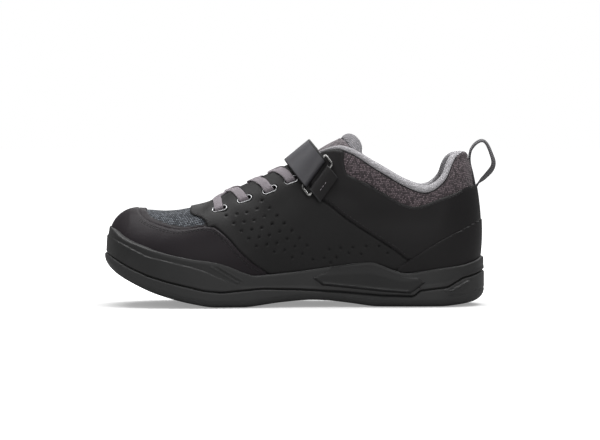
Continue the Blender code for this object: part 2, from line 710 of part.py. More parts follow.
def on_strap(along, y, depth):
    """Point of the strap's own space: along the instep, across it, and below the strap's crown."""
    share = min(max(depth, 0.0) / STRAP_FULL, 1.0)
    turn = min(max((depth - STRAP_FLAT) / (STRAP_FULL - STRAP_FLAT), 0.0), 1.0)
    depth = depth - STRAP_SLANT * along * share
    y = y - math.copysign(1.0, y) * STRAP_TWIST * along * turn
    run_x, run_z = STRAP_RUN
    crown_x, crown_z = STRAP_CROWN
    return (crown_x + run_x * along + run_z * depth, y, crown_z + run_z * along - run_x * depth)


def strap_band(name, path, thick, sides, skin_finish):
    """Ribbon of one width that follows a path across the instep."""
    path, normals = flat_normals(path)
    sections = []
    for (y, depth), (across, down) in zip(path, normals * thick / 2):
        sections.append([on_strap(side, y + way * across, depth + way * down)
                         for side, way in ((sides[0], -1), (sides[0], 1), (sides[1], 1), (sides[1], -1))])
    solid(name, *capped(sections), skin_finish)


def make_strap(leather, tab_leather, metal):
    """Strap with its fold, the wire ring that it turns round, and the tab that holds the ring."""
    strap_band("strap", STRAP_PATH, STRAP_THICK, (-STRAP_WIDE / 2, STRAP_WIDE / 2), leather)
    strap_band("ring_tab", TAB_PATH, TAB_THICK, TAB_SIDES, tab_leather)
    (y_top, top), (y_low, low) = RING_BARS
    length = low - top
    near, far = RING_ENDS[0] + RING_CORNER, RING_ENDS[1] - RING_CORNER
    high, deep = RING_CORNER, length - RING_CORNER
    corners = ((far, high), (far, deep), (near, deep), (near, high))
    path = []
    for turn, (along, depth) in enumerate(corners):
        for step in range(RING_ARC):
            angle = math.pi / 2 * (turn - 1 + step / (RING_ARC - 1))
            down = depth + RING_CORNER * math.sin(angle)
            y = y_top + (y_low - y_top) * down / length
            path.append(on_strap(along + RING_CORNER * math.cos(angle), y, top + down))
    wire = bpy.data.curves.new("strap_ring", "CURVE")
    wire.dimensions = "3D"
    wire.bevel_depth = RING_WIRE * MM
    wire.bevel_resolution = 1
    run = wire.splines.new("POLY")
    run.points.add(len(path) - 1)
    for point, place in zip(run.points, path):
        point.co = (*(value * MM for value in place), 1.0)
    run.use_cyclic_u = True
    placed(bpy.data.objects.new("strap_ring", wire), metal, None)


def make_pull_loop(webbing):
    """Ribbon loop sewn to the back of the heel."""
    path, normals = flat_normals(LOOP_PATH)
    sections = []
    for (x, z), (dx, dz) in zip(path, normals * LOOP_THICK / 2):
        sections.append([(x + way * dx, side * LOOP_WIDE / 2, z + way * dz)
                         for side, way in ((-1, -1), (-1, 1), (1, 1), (1, -1))])
    solid("pull_loop", *capped(sections), webbing)


def lace_ribbon(name, path, collection=None, skin_finish=None):
    """Flat lace along a path over the instep."""
    path = np.array(smooth(path, LACE_STEPS))
    run = np.gradient(path, axis=0)
    run = run / np.linalg.norm(run, axis=1)[:, None]
    slope = np.array((1.0, 0.0, CROSS_SLOPE))
    sections = []
    for place, ahead in zip(path, run):
        wide = slope - ahead * np.dot(slope, ahead)
        wide = wide / np.linalg.norm(wide) * LACE_WIDE / 2
        thick = np.cross(ahead, wide)
        thick = thick / np.linalg.norm(thick) * LACE_THICK / 2
        low, high = place - thick, place + thick
        sections.append([low - wide, low + wide, high + wide, high - wide])
    return solid(name, *capped(sections), skin_finish, collection)


def lace_reach(number, side):
    """Points of a lace from its eyelet up the stay and over the throat's edge."""
    k, v = find_on_side(*EYELETS[number], side)
    off = STITCH_LAP + QUARTER_THICK + SLOT_PROUD + LACE_CLEAR + LACE_THICK / 2
    toe_way = 1 if side < 0 else -1
    return [skin(k, v, off), skin(k + toe_way * LACE_LEAN / 2, (1 + v) / 2, off),
            skin(k + toe_way * LACE_LEAN, 1.0, off)]


def make_laces(weave):
    """First bar straight across, then a joined pair of crossing strands at each further row of eyelets."""
    inner, outer = lace_reach(0, -1), lace_reach(0, 1)
    top = (inner[-1] + outer[-1]) / 2 + np.array((-BAR_FORWARD, 0.0, BAR_LIFT))
    lace_ribbon("lace_bar_1", [*inner, top, *reversed(outer)], skin_finish=weave)
    for number in range(1, len(EYELETS)):
        strands = []
        for side, other in ((-1, 1), (1, -1)):
            near, far = lace_reach(number, side), lace_reach(number, other)[-1]
            middle = (near[-1] + far) / 2
            middle = middle + np.array((-CROSS_BACK, 0.0, CROSS_LIFT - CROSS_SLOPE * CROSS_BACK))
            end = middle + (far - middle) * CROSS_REACH
            end = end + np.array((-CROSS_BACK, 0.0, -CROSS_SLOPE * CROSS_BACK))
            strands.append([*near, middle, end])
        cross = lace_ribbon(f"lace_cross_{number + 1}", strands[0], skin_finish=weave)
        joined(cross, lace_ribbon(f"lace_strand_{number + 1}", strands[1], CUTTERS), "UNION")


clear_scene()
PARTS = bpy.data.collections.new("mountain_bike_shoe")
CUTTERS = bpy.data.collections.new("cutters")
bpy.context.scene.collection.children.link(PARTS)
bpy.context.scene.collection.children.link(CUTTERS)
ROOT = bpy.data.objects.new("shoe_root", None)
ROOT.location = (-CENTRE_X * MM, -CENTRE_Y * MM, 0.0)
PARTS.objects.link(ROOT)

make_outsole(finish("outsole_rubber", (0.030, 0.030, 0.031), 0.62))
make_midsole(finish("cup_rubber", (0.034, 0.034, 0.035), 0.55))
make_insole(finish("footbed_foam", (0.060, 0.058, 0.062), 0.9))
SLOTS = slot_cutters()
make_upper(finish("upper_knit", (0.085, 0.078, 0.085), 0.85), SLOTS)
make_overlays({word: finish(f"{word}_leather", (0.024, 0.022, 0.024), 0.45)
               for word in ("cap", "quarter", "rear", "counter")}, SLOTS)
make_eyelets(finish("eyelet_metal", (0.12, 0.12, 0.125), 0.3, 1.0))
make_tongue(finish("tongue_knit", (0.16, 0.15, 0.165), 0.88))
make_laces(finish("lace_weave", (0.30, 0.29, 0.31), 0.85))
make_strap(finish("strap_leather", (0.050, 0.048, 0.052), 0.6),
           finish("tab_leather", (0.022, 0.021, 0.023), 0.5),
           finish("ring_metal", (0.05, 0.05, 0.052), 0.25, 1.0))
make_pull_loop(finish("loop_webbing", (0.16, 0.155, 0.16), 0.85))
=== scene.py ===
import math

import bpy
import numpy as np
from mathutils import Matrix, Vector


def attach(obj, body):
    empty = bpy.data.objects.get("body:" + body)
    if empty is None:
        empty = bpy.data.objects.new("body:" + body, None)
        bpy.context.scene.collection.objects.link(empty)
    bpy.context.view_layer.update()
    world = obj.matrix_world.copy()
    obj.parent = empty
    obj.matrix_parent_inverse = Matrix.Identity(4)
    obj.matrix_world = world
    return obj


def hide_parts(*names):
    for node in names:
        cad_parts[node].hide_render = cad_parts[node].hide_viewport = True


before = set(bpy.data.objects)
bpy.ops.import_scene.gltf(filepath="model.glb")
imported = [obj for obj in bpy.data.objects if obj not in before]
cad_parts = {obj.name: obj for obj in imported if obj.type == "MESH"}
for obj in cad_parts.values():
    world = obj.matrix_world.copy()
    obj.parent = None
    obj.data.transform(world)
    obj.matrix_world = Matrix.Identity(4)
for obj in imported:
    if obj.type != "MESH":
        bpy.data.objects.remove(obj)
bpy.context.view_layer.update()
bpy.ops.object.select_all(action="DESELECT")
print("frame loaded:", len(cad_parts), "nodes")

# The last, in millimetres: x from toe to heel, y from inner to outer side, z up. One row a section, heel first:
# sole x, inner y, outer y, top x, middle, half width, z, then swell, rise, crown, drop, rim, lap
lastRows = (
    (150, 0, 0, 136.3, 0, 0, 118, 5, 26, 8.5, 30, 7, 2.5),
    (145.5, 17, 17, 133.2, 0, 10.5, 118.2, 5.5, 26, 8, 30, 7, 2.5),
    (134, 28.5, 28.5, 126.5, 0, 20, 114.5, 6.5, 26, 6, 30, 7.5, 2.5),
    (117, 35, 35.5, 118, 0, 28, 99.5, 7.5, 24, 3.5, 24, 8, 2.5),
    (97, 37.5, 38.5, 104, 0, 32.5, 91, 8, 22, 1.5, 20, 8, 2.5),
    (75, 37, 39.5, 86, 0, 33.5, 94.5, 8.5, 22, 1.5, 22, 7.5, 2.5),
    (52, 35, 40.5, 64.5, 0, 32.5, 106, 8.5, 24, 3.5, 26, 7, 2),
    (28, 34.5, 42.5, 43.5, -0.5, 28.5, 120, 8.5, 26, 6, 26, 5.5, 1.6),
    (4, 37, 46, 26.5, -1, 20.5, 122.5, 8.5, 28, 10, 18, 3.6, 1.6),
    (-21, 42, 50.5, 4, -1, 16.5, 113.5, 8.5, 28, 15, 11, 2.6, 1.6),
    (-46, 47.5, 54, -21, -1.5, 14, 102, 8.5, 26, 17, 10, 2.4, 2),
    (-70, 50.5, 54.5, -45, -2, 11.5, 91, 8.5, 24, 19, 9, 2.4, 2),
    (-95, 50, 50, -61.5, -2.5, 8, 83.2, 8, 21, 22, 6, 2.4, 2),
    (-118.5, 46, 42, -69.5, -3, 0, 79.3, 7.5, 19, 26, 2, 2.4, 2),
    (-137, 36.5, 29, -93, -3.5, 0, 74.5, 6.5, 17, 25, 0, 2.4, 2),
    (-147.2, 22, 12, -112, -4, 0, 74.4, 5.5, 15, 22, 0, 2.4, 2),
    (-150, 5, -5, -121, -4, 0, 75.2, 5.5, 14, 20, 0, 2.4, 2),
)
toePlace = len(lastRows) - 1
loopPlaces = 2 * toePlace
ridgeFrom = 13  # from here to the toe the two sides meet along the vamp
rowShift = np.array((4.3, 2.0, 0.0))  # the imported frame's origin
millimetre = 0.001
last = {"inset": 7.0, "seat": 0.3, "wall": 2.2, "padFrom": 0.45, "collarTo": 9.0, "collarFade": 1.5}
sides = ((-1, "in"), (1, "out"))
upward = np.array((0.0, 0.0, 1.0))
nudge, tiny, farAway = 0.01, 1e-9, 1e9  # step for slopes, least and greatest length
lineTaps = (-1, -0.5, 0, 0.5, 1)  # where a sole line is read, to round it off

# side-view lines of the sole: x and z, and how much each is rounded off
soleLines = {
    "bottom": (((-150, 33.8), (-142, 27), (-133, 21.6), (-120, 15.2), (-109.8, 10.9), (-98, 7.2), (-88.3, 4.5),
                (-78, 2.3), (-69, 0.6), (-64, 0), (-36, 0), (-29, 1.0), (-13.9, 3.2), (4, 4.8), (13.5, 5.2),
                (27, 4.6), (45, 2.4), (58, 0.5), (62, 0), (118, 0), (132, 1.5), (144, 3.8), (150, 7.5)), 4.0),
    "split": (((-150, 41.9), (-142, 37.6), (-131.2, 31.7), (-115.2, 24.8), (-99.2, 20), (-83.3, 16.2),
               (-70.4, 13.1), (-56.6, 11.7), (-40.6, 13.1), (-24.6, 14.4), (4, 13.4), (35.8, 11.5), (67.6, 8.8),
               (93, 8.2), (98, 12.5), (119.9, 15), (132, 22), (142.2, 24.5), (150, 27.5)), 1.2),
    "floor": (((-150, 46.5), (-142, 42.5), (-131, 37), (-115, 30), (-99, 25.2), (-83, 21), (-70, 18.4),
               (-56, 17.2), (-30, 19), (0, 20.4), (30, 21.8), (60, 23), (100, 25), (128, 27), (142, 29.5),
               (150, 31.5)), 4.0),
    "rim": (((-150, 62.2), (-146, 60.6), (-142, 57.4), (-138, 54.7), (-131.2, 51.4), (-115.2, 45.5), (-99.2, 41.3),
             (-80, 37.5), (-70.4, 36.4), (-60.8, 34.8), (-50.1, 31.2), (-40.6, 27.6), (-31.5, 24.8), (-13.9, 26.2),
             (4, 28.1), (21.5, 30.6), (43.9, 33.7), (57, 34.9), (62, 34.5), (75.1, 29.5), (85.2, 26.5),
             (90.8, 26.7), (110.9, 29.8), (133.3, 32.6), (144.4, 35.7), (150, 38.9)), 2.2),
    "step": (((-150, 55.5), (-140, 51.5), (-115.4, 40.1), (-79.6, 31.6), (-70, 28.5), (-47, 18.3), (-40, 16.5),
              (0, 16.5), (93, 12.5), (98, 16.5), (120, 19), (132, 25), (150, 31)), 1.0),
    "stepInset": (((-150, 0.8), (-60, 0.8), (-44, 0), (150, 0)), 1.0),
    "lean": (((-150, 3.6), (-138, 2.2), (-110, 1.2), (110, 1.0), (150, 0.5)), 4.0),
}

# soft troughs (minus) and ridges (plus) of the upper in side view: from x, z to x, z, width, height
creases = (
    (-55, 82, -41, 46, 5.0, -0.55),
    (-66, 76, -57, 56, 5.0, 0.35),
    (-27, 80, -12, 50, 6.0, -0.5),
    (-40, 78, -28, 50, 5.0, 0.3),
    (58, 70, 108, 66, 11.0, -0.9),
    (20, 92, 46, 84, 7.0, -0.5),
    (112, 62, 128, 88, 7.0, 0.4),
    (-104, 72, -88, 66, 6.0, -0.4),
)


def unit(ways, least=0.0):
    return ways / (np.linalg.norm(ways, axis=-1, keepdims=True) + least)


def pair(k, v):
    return np.broadcast_arrays(np.asarray(k, float), np.asarray(v, float))


def at3(plan, z):  # plan points at a height
    return np.concatenate((plan, np.broadcast_to(z, plan.shape[:-1])[..., None]), -1)


def lengthsAlong(rows):  # distance run from the first row
    steps = np.linalg.norm(np.diff(rows, axis=0), axis=-1)
    return np.concatenate((0 * steps[:1], np.cumsum(steps, axis=0)))


def fadeOut(value, start, end):  # 1 at the start, eased to 0 at the end
    return 0.5 + 0.5 * np.cos(np.pi * np.clip((value - start) / (end - start), 0, 1))


def between(a, b, c, d, t):  # smooth curve from b to c
    bend = (2 * a - 5 * b + 4 * c - d) * t ** 2 + (3 * b - a - 3 * c + d) * t ** 3
    return 0.5 * (2 * b + (c - a) * t + bend)


def curved(points, steps):  # open smooth line through the points
    rows = np.array([points[0], *points, points[-1]], float)
    rows[0], rows[-1] = 2 * rows[1] - rows[2], 2 * rows[-2] - rows[-3]
    found = [between(*rows[i - 1:i + 3], step / steps) for i in range(1, len(rows) - 2) for step in range(steps)]
    return np.array(found + [rows[-2]])


def closedLoop():  # the rows once round the shoe: sole x, y, top x, y, z, middle, then the rest
    rows = []
    for place in range(loopPlaces):
        side = -1 if place <= toePlace else 1
        soleX, soleIn, soleOut, topX, middle, half, topZ, *rest = lastRows[min(place, loopPlaces - place)]
        rows.append([soleX, -soleIn if side < 0 else soleOut, topX, middle + side * half, topZ, middle, *rest])
    return np.array(rows)


loopTable = closedLoop()


def fromHeel(k):  # places from the heel's back, on either side
    return np.minimum(k % loopPlaces, loopPlaces - k % loopPlaces)


def onRidge(k):
    return fromHeel(k) >= ridgeFrom - tiny


def lastAt(k):
    first = np.floor(k).astype(int)
    row = between(*(loopTable[(first + step) % loopPlaces] for step in (-1, 0, 1, 2)), (k - first)[..., None])
    row[..., 3] = np.where(onRidge(k), row[..., 5], row[..., 3])
    return row


def lineAt(name, x):
    line, soft = soleLines[name]
    return sum(np.interp(x + soft * tap, *zip(*line)) for tap in lineTaps) / len(lineTaps)


def outlineAt(k, inset=0.0):  # sole outline in plan, moved inwards, and the outward direction
    run = lastAt(k + nudge)[..., :2] - lastAt(k - nudge)[..., :2]
    out = unit(np.stack((-run[..., 1], run[..., 0]), -1))
    return lastAt(k)[..., :2] - out * np.asarray(inset)[..., None], out


def planAt(k, inset):
    return outlineAt(k, inset)[0]


def wallPoint(k, v):  # outer face of the upper: v 0 at the sole, 1 at collar, throat or ridge
    k, v = pair(k, v)
    row = lastAt(k)
    base, out = outlineAt(k, last["inset"])
    start, out = at3(base, lineAt("floor", base[..., 0]) + last["seat"]), at3(out, 0.0)
    swell, rise, crown, drop = (row[..., column, None] for column in range(6, 10))
    low = start + out * swell + upward * rise
    high = row[..., 2:5] + out * crown - upward * drop
    v = v[..., None]
    u = 1 - v
    return u ** 3 * start + 3 * u * u * v * low + 3 * u * v * v * high + v ** 3 * row[..., 2:5]


def wallNormal(k, v):
    k, v = pair(k, v)
    along = wallPoint(k + nudge, v) - wallPoint(k - nudge, v)
    rise = wallPoint(k, np.minimum(v + nudge, 1.0)) - wallPoint(k, np.maximum(v - nudge, 0.0))
    normal = unit(np.cross(rise, along), 1e-12)
    normal[(v > 0.999) & onRidge(k)] = upward
    return normal


def lineDistance(x, z, ax, az, bx, bz):
    runX, runZ = bx - ax, bz - az
    share = np.clip(((x - ax) * runX + (z - az) * runZ) / max(runX ** 2 + runZ ** 2, tiny), 0, 1)
    return np.hypot(x - ax - share * runX, z - az - share * runZ)


def reliefAt(lines, x, z, power=4):  # sum of ribs and troughs; a higher power gives steeper flanks
    return sum(height * np.exp(-(lineDistance(x, z, *ends) / width) ** power) for *ends, width, height in lines)


# how the collar's edge is raised (place, mm) and its heel leant forward (place, mm inside, mm outside)
collarLift = ((4.3, 0), (5.0, 1.6), (5.6, 3.0), (6.2, 2.7), (6.8, 1.8), (7.3, 1.5), (7.75, 1.3), (8.3, 0.6), (8.8, 0))
collarLean = ((0.6, 0, 0), (1.6, -1.2, -2.6), (2.4, -1.8, -3.6), (3.2, -1.0, -2.2), (4.2, 0, 0))
collarFrom = 0.72  # share of the wall below which neither shows


def collarMove(k, v):  # x and z to add near the collar's edge
    near = fromHeel(k)
    share = np.clip((v - collarFrom) / (1 - collarFrom), 0, 1) ** 2
    places, inside, outside = zip(*collarLean)
    lean = np.where(k % loopPlaces > toePlace, np.interp(near, places, outside), np.interp(near, places, inside))
    return np.stack((share * lean, 0 * share, share * np.interp(near, *zip(*collarLift))), -1)


# The toe is rounded to a dome over the ridge. Stops: x, share of the dome, slope along the shoe.
# Lift: distance from the middle, height.
toeDome = {"stops": ((-146, 0, 1.7), (-141, 0.2, 1.2), (-135, 0.6, 0.55), (-129, 1, 0.25), (-121, 1, 0.05),
                     (-113, 0.75, 0), (-104, 0.4, 0), (-92, 0, 0)),
           "lift": ((0, 0), (2, 1.0), (4, 1.8), (8, 2.5), (12, 2.8), (16, 2.6), (20, 2.0), (24, 1.2), (28, 0.45),
                    (33, 0)),
           "middle": -4.0, "from": 5.0, "to": 13.0, "bow": 0.055}
domeLift = curved(toeDome["lift"], 6)


def domed(points, normal):
    stops, shares, slopes = zip(*toeDome["stops"])
    x, across = points[..., 0], points[..., 1] - toeDome["middle"]
    away, share = np.abs(across), np.interp(x, stops, shares, 0, 0)
    reach = fadeOut(away, toeDome["from"], toeDome["to"])
    crown = unit(np.stack((-np.interp(x, stops, slopes), toeDome["bow"] * across, np.ones(x.shape)), -1))
    normal = unit(normal + (crown - normal) * (reach * share)[..., None])
    lift = share * np.interp(away, *zip(*domeLift))
    return points + lift[..., None] * upward, normal


def skin(k, v, offset):  # point off the creased outer face
    k, v = pair(k, v)
    points, normal = domed(wallPoint(k, v), wallNormal(k, v))
    offset = np.asarray(offset) + reliefAt(creases, points[..., 0], points[..., 2], 2)
    return points + normal * offset[..., None] + collarMove(k, v)


def toTop(k, v, share=0.15):  # distance to the upper's top edge, from the length of the wall's top share
    k, v = pair(k, v)
    return (1 - v) * (np.linalg.norm(wallPoint(k, 1.0) - wallPoint(k, 1 - share), axis=-1) / share)


def wallThickness(k, v):
    share = np.clip((v - last["padFrom"]) / (1 - last["padFrom"]), 0.0, 1.0)
    return last["wall"] + (lastAt(k)[..., 10] - last["wall"]) * share * share * (3 - 2 * share)


def pathDistance(line, x, z):  # distance to a side-view line
    nearest = np.full(x.shape, farAway)
    for start, end in zip(line, line[1:]):
        nearest = np.minimum(nearest, lineDistance(x, z, *start, *end))
    return nearest


def sideDistance(polygon, x, z):  # signed distance to a side-view outline, plus inside
    corners = np.array([*polygon, polygon[0]], float)
    inside = np.zeros(x.shape, bool)
    for (ax, az), (bx, bz) in zip(corners, corners[1:]):
        inside ^= ((az > z) != (bz > z)) & (x < ax + (z - az) * (bx - ax) / (bz - az if bz != az else tiny))
    nearest = pathDistance(corners, x, z)
    return np.where(inside, nearest, -nearest)


searchK, searchV = (grid.ravel() for grid in np.meshgrid(np.arange(0, 16.05, 0.1), np.arange(0.02, 1.0, 0.02)))
searchPlaces = {-1: searchK, 1: loopPlaces - searchK}
searchPoints = {side: wallPoint(k, searchV) for side, k in searchPlaces.items()}
search = {"turns": 8, "step": 0.005, "least": 20, "mostK": 0.3, "mostV": 0.05, "lowest": 0.01, "highest": 0.995}


def onSide(x, z, side, offset=0.0):  # places of the skin that show at x and z in side view
    x, z = np.asarray(x, float), np.asarray(z, float)
    grid = searchPoints[side]
    best = ((grid[:, 0] - x[:, None]) ** 2 + (grid[:, 2] - z[:, None]) ** 2).argmin(axis=1)
    k, v = searchPlaces[side][best], searchV[best]
    for _ in range(search["turns"]):
        here = skin(k, v, offset)
        byK = (skin(k + nudge, v, offset) - here) / nudge
        byV = (skin(k, v + search["step"], offset) - here) / search["step"]
        missX, missZ = x - here[:, 0], z - here[:, 2]
        size = byK[:, 0] * byV[:, 2] - byK[:, 2] * byV[:, 0]
        size = np.where(np.abs(size) < search["least"], np.copysign(search["least"], size), size)
        moveK, moveV = missX * byV[:, 2] - missZ * byV[:, 0], missZ * byK[:, 0] - missX * byK[:, 2]
        k = k + np.clip(moveK / size, -search["mostK"], search["mostK"])
        v = np.clip(v + np.clip(moveV / size, -search["mostV"], search["mostV"]), search["lowest"], search["highest"])
    return k, v


def evenStops(lengths, step):
    return np.linspace(0, lengths[-1], max(int(lengths[-1] / step), 4) + 1)


def evenPlaces(low, high, cell, sample):  # places about one cell apart along a line
    fine = np.linspace(low, high, 3000)
    lengths = lengthsAlong(sample(fine))
    return np.interp(evenStops(lengths, cell), lengths, fine)


def evenPath(points, step):  # the same line with its points one step apart
    points = np.asarray(points, float)
    lengths = lengthsAlong(points)
    return np.stack([np.interp(evenStops(lengths, step), lengths, column) for column in points.T], -1)


def inFrame(points):
    return ((np.asarray(points, float) - rowShift) * millimetre).reshape(-1, 3)


def activate(obj):
    bpy.ops.object.select_all(action="DESELECT")
    obj.select_set(True)
    bpy.context.view_layer.objects.active = obj


def setUv(obj, uv):  # one pair a vertex, in millimetres
    layer = obj.data.uv_layers.active or obj.data.uv_layers.new(name="UVMap")
    corners = np.zeros(len(obj.data.loops), int)
    obj.data.loops.foreach_get("vertex_index", corners)
    layer.data.foreach_set("uv", np.asarray(uv, float).reshape(-1, 2)[corners].ravel())


def newObject(name, data):
    obj = bpy.data.objects.new(name, data)
    bpy.context.scene.collection.objects.link(obj)
    return obj


def inEditMode(obj, operation, **values):  # one operation on the whole mesh
    activate(obj)
    bpy.ops.object.mode_set(mode="EDIT")
    bpy.ops.mesh.select_all(action="SELECT")
    operation(**values)
    bpy.ops.object.mode_set(mode="OBJECT")


def weld(obj):
    inEditMode(obj, bpy.ops.mesh.remove_doubles, threshold=2e-6)


def fixNormals(obj):
    inEditMode(obj, bpy.ops.mesh.normals_make_consistent, inside=False)


def dropFaces(obj, drop):
    bpy.ops.object.mode_set(mode="EDIT")
    bpy.ops.mesh.select_mode(type="FACE")
    bpy.ops.object.mode_set(mode="OBJECT")
    obj.data.polygons.foreach_set("select", drop.ravel())
    bpy.ops.object.mode_set(mode="EDIT")
    bpy.ops.mesh.delete(type="FACE")
    bpy.ops.object.mode_set(mode="OBJECT")


def gridPiece(name, points, flip=False, uv=None, kinds=None, drop=None, angle=None):
    # a grid primitive whose vertices are laid on a surface given as rows of points
    rows, columns = points.shape[:2]
    bpy.ops.mesh.primitive_grid_add(x_subdivisions=columns - 1, y_subdivisions=rows - 1, size=1)
    obj = bpy.context.object
    obj.name = obj.data.name = name
    obj.data.vertices.foreach_set("co", inFrame(points).ravel())
    if uv is not None:
        setUv(obj, uv)
    if kinds is not None:
        obj.data.polygons.foreach_set("material_index", np.asarray(kinds, np.int32).ravel())
    if drop is not None:
        dropFaces(obj, drop)
    weld(obj)
    if flip:
        inEditMode(obj, bpy.ops.mesh.flip_normals)
    else:
        fixNormals(obj)
    smoothShade(obj, angle)
    return obj


def smoothShade(obj, angle=None):
    activate(obj)
    if angle is None:
        bpy.ops.object.shade_smooth()
    else:
        bpy.ops.object.shade_smooth_by_angle(angle=math.radians(angle))


def arrayPiece(name, points, faces):  # joined mesh from arrays, for clipped panels and small repeats
    mesh = bpy.data.meshes.new(name)
    mesh.from_pydata(inFrame(points).tolist(), [], faces)
    obj = newObject(name, mesh)
    smoothShade(obj)
    return obj


def applyModifier(obj, kind, **values):
    activate(obj)
    change = obj.modifiers.new(kind.lower(), kind)
    for key, value in values.items():
        setattr(change, key, value)
    bpy.ops.object.modifier_apply(modifier=change.name)


def dress(obj, slot, replaced, *names):  # finishes by name, the root body and the nodes it stands for
    for name in names:
        obj.data.materials.append(finish[name])
    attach(obj, "root")
    if replaced:
        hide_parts(*replaced)
    return obj


print("shape of the last ready")


# finishes

def plug(tree, node, inputs):  # each input is a socket to link or a value of its own
    for key, value in inputs.items():
        if isinstance(value, bpy.types.NodeSocket):
            tree.links.new(value, node.inputs[key])
        else:
            node.inputs[key].default_value = value


def add(tree, kind, inputs=None, **settings):  # a new node's outputs
    made = tree.nodes.new(kind)
    for key, value in settings.items():
        setattr(made, key, value)
    plug(tree, made, inputs or {})
    return made.outputs


def mathsIn(tree):  # sums as nodes of this tree, on sockets or numbers
    return lambda operation, *terms: add(tree, "ShaderNodeMath", dict(enumerate(terms)), operation=operation)[0]


def newGroup(name, inputs, outputs):
    tree = bpy.data.node_groups.new(name, "ShaderNodeTree")
    for label, value in inputs.items():
        tree.interface.new_socket(label, in_out="INPUT", socket_type="NodeSocketFloat").default_value = value
    for label in outputs:
        tree.interface.new_socket(label, in_out="OUTPUT", socket_type="NodeSocketFloat")
    return tree, mathsIn(tree), tree.nodes.new("NodeGroupInput").outputs, tree.nodes.new("NodeGroupOutput")


def flatPlace(tree):  # the UV map, which is in millimetres
    uv = add(tree, "ShaderNodeUVMap", uv_map="UVMap")["UV"]
    parts = add(tree, "ShaderNodeSeparateXYZ", {"Vector": uv})
    return parts["X"], parts["Y"]


def makeGrainGroup():  # fine pebbled skin: cells per metre in, height and cloudy tone out
    tree, sums, given, out = newGroup("grainSkin", {"Cells": 900.0, "Clouds": 18.0}, ("Height", "Tone"))
    place = add(tree, "ShaderNodeTexCoord")["Object"]
    byCells = {"Vector": place, "Scale": given["Cells"]}
    cells = add(tree, "ShaderNodeTexVoronoi", byCells, feature="SMOOTH_F1")
    fine = add(tree, "ShaderNodeTexNoise", {"Detail": 3.0, **byCells})
    cloud = add(tree, "ShaderNodeTexNoise", {"Detail": 2.0, "Vector": place, "Scale": given["Clouds"]})
    height = sums("ADD", sums("MULTIPLY", cells["Distance"], 0.7), sums("MULTIPLY", fine["Fac"], 0.5))
    plug(tree, out, {"Height": height, "Tone": cloud["Fac"]})
    return tree


def makeKnitGroup():  # staggered yarn loops, with a value that falls from each loop's crown into the gaps, used for painted shade
    tree, sums, given, out = newGroup("knitLoops", {"Pitch": 1.4, "Stretch": 1.0}, ("Height", "Random", "GapShade"))
    x, y = flatPlace(tree)
    row = sums("DIVIDE", y, given["Pitch"])
    rowNumber = sums("FLOOR", row)
    wide = sums("MULTIPLY", given["Pitch"], given["Stretch"])
    column = sums("ADD", sums("DIVIDE", x, wide), sums("MULTIPLY", sums("MODULO", rowNumber, 2.0), 0.5))
    inX, inY = (sums("SUBTRACT", sums("FRACT", line), 0.5) for line in (column, row))
    spread = sums("ADD", sums("MULTIPLY", inX, inX), sums("MULTIPLY", inY, inY))
    height = sums("MAXIMUM", sums("SUBTRACT", 1.0, sums("MULTIPLY", spread, 4.2)), 0.0)
    cell = add(tree, "ShaderNodeCombineXYZ", {"X": sums("FLOOR", column), "Y": rowNumber})[0]
    chance = add(tree, "ShaderNodeTexWhiteNoise", {"Vector": cell}, noise_dimensions="2D")
    plug(tree, out, {"Height": height, "Random": chance["Value"], "GapShade": sums("POWER", height, 0.5)})
    return tree


def makeRibGroup():  # chevron ribs of a woven band: x along it, y across it
    tree, sums, given, out = newGroup("wovenRibs", {"Pitch": 1.1, "Slant": 0.6}, ("Height",))
    x, y = flatPlace(tree)
    slid = sums("ADD", x, sums("MULTIPLY", sums("ABSOLUTE", y), given["Slant"]))
    wave = sums("FRACT", sums("DIVIDE", slid, given["Pitch"]))
    plug(tree, out, {"Height": sums("PINGPONG", sums("MULTIPLY", wave, 2.0), 1.0)})
    return tree


grainGroup, knitGroup, ribGroup = makeGrainGroup(), makeKnitGroup(), makeRibGroup()
toneFrom, toneTo = 0.3, 0.7  # middle of the cloudy tone


def newFinish(name, roughness, specular=0.5, metallic=0.0, sheen=0.0):
    made = bpy.data.materials.new(name)
    made.use_nodes = True
    tree, shader = made.node_tree, made.node_tree.nodes["Principled BSDF"]
    plug(tree, shader, {"Roughness": roughness, "Specular IOR Level": specular, "Metallic": metallic,
                        "Sheen Weight": sheen})
    return made, tree, shader


def blend(tree, factor, dark, light, low=toneFrom, high=toneTo):  # each end a colour or a socket
    span = add(tree, "ShaderNodeMapRange", {"From Min": low, "From Max": high, "Value": factor})[0]
    ends = [(*end, 1.0) if isinstance(end, tuple) else end for end in (dark, light)]
    return add(tree, "ShaderNodeMix", {"Factor": span, 6: ends[0], 7: ends[1]}, data_type="RGBA")[2]


def bump(tree, height, depth):  # depth in millimetres
    return add(tree, "ShaderNodeBump", {"Strength": 1.0, "Distance": depth * millimetre, "Height": height})["Normal"]


def grainFinish(name, dark, light, rough, cells, depth, clouds=18.0, specular=0.5):
    made, tree, shader = newFinish(name, rough[0], specular)
    grain = add(tree, "ShaderNodeGroup", {"Cells": cells, "Clouds": clouds}, node_tree=grainGroup)
    dull = add(tree, "ShaderNodeMapRange", {"From Min": toneFrom, "From Max": toneTo, "To Min": rough[0],
                                            "To Max": rough[1], "Value": grain["Tone"]})[0]
    plug(tree, shader, {"Base Color": blend(tree, grain["Tone"], dark, light), "Roughness": dull,
                        "Normal": bump(tree, grain["Height"], depth)})
    return made


def knitFinish(name, dark, light, tint, pitch, stretch, depth):
    made, tree, shader = newFinish(name, 0.85, 0.3, sheen=0.15)
    knit = add(tree, "ShaderNodeGroup", {"Pitch": pitch, "Stretch": stretch}, node_tree=knitGroup)
    yarn = blend(tree, knit["Random"], light, tint, 0.25, 0.75)
    # each loop is painted darker towards its edges and in the gaps: painted shade in the dips, and through an open knit
    # also its dark backing
    plug(tree, shader, {"Base Color": blend(tree, knit["GapShade"], dark, yarn, 0.2, 0.95),
                        "Normal": bump(tree, knit["Height"], depth)})
    return made


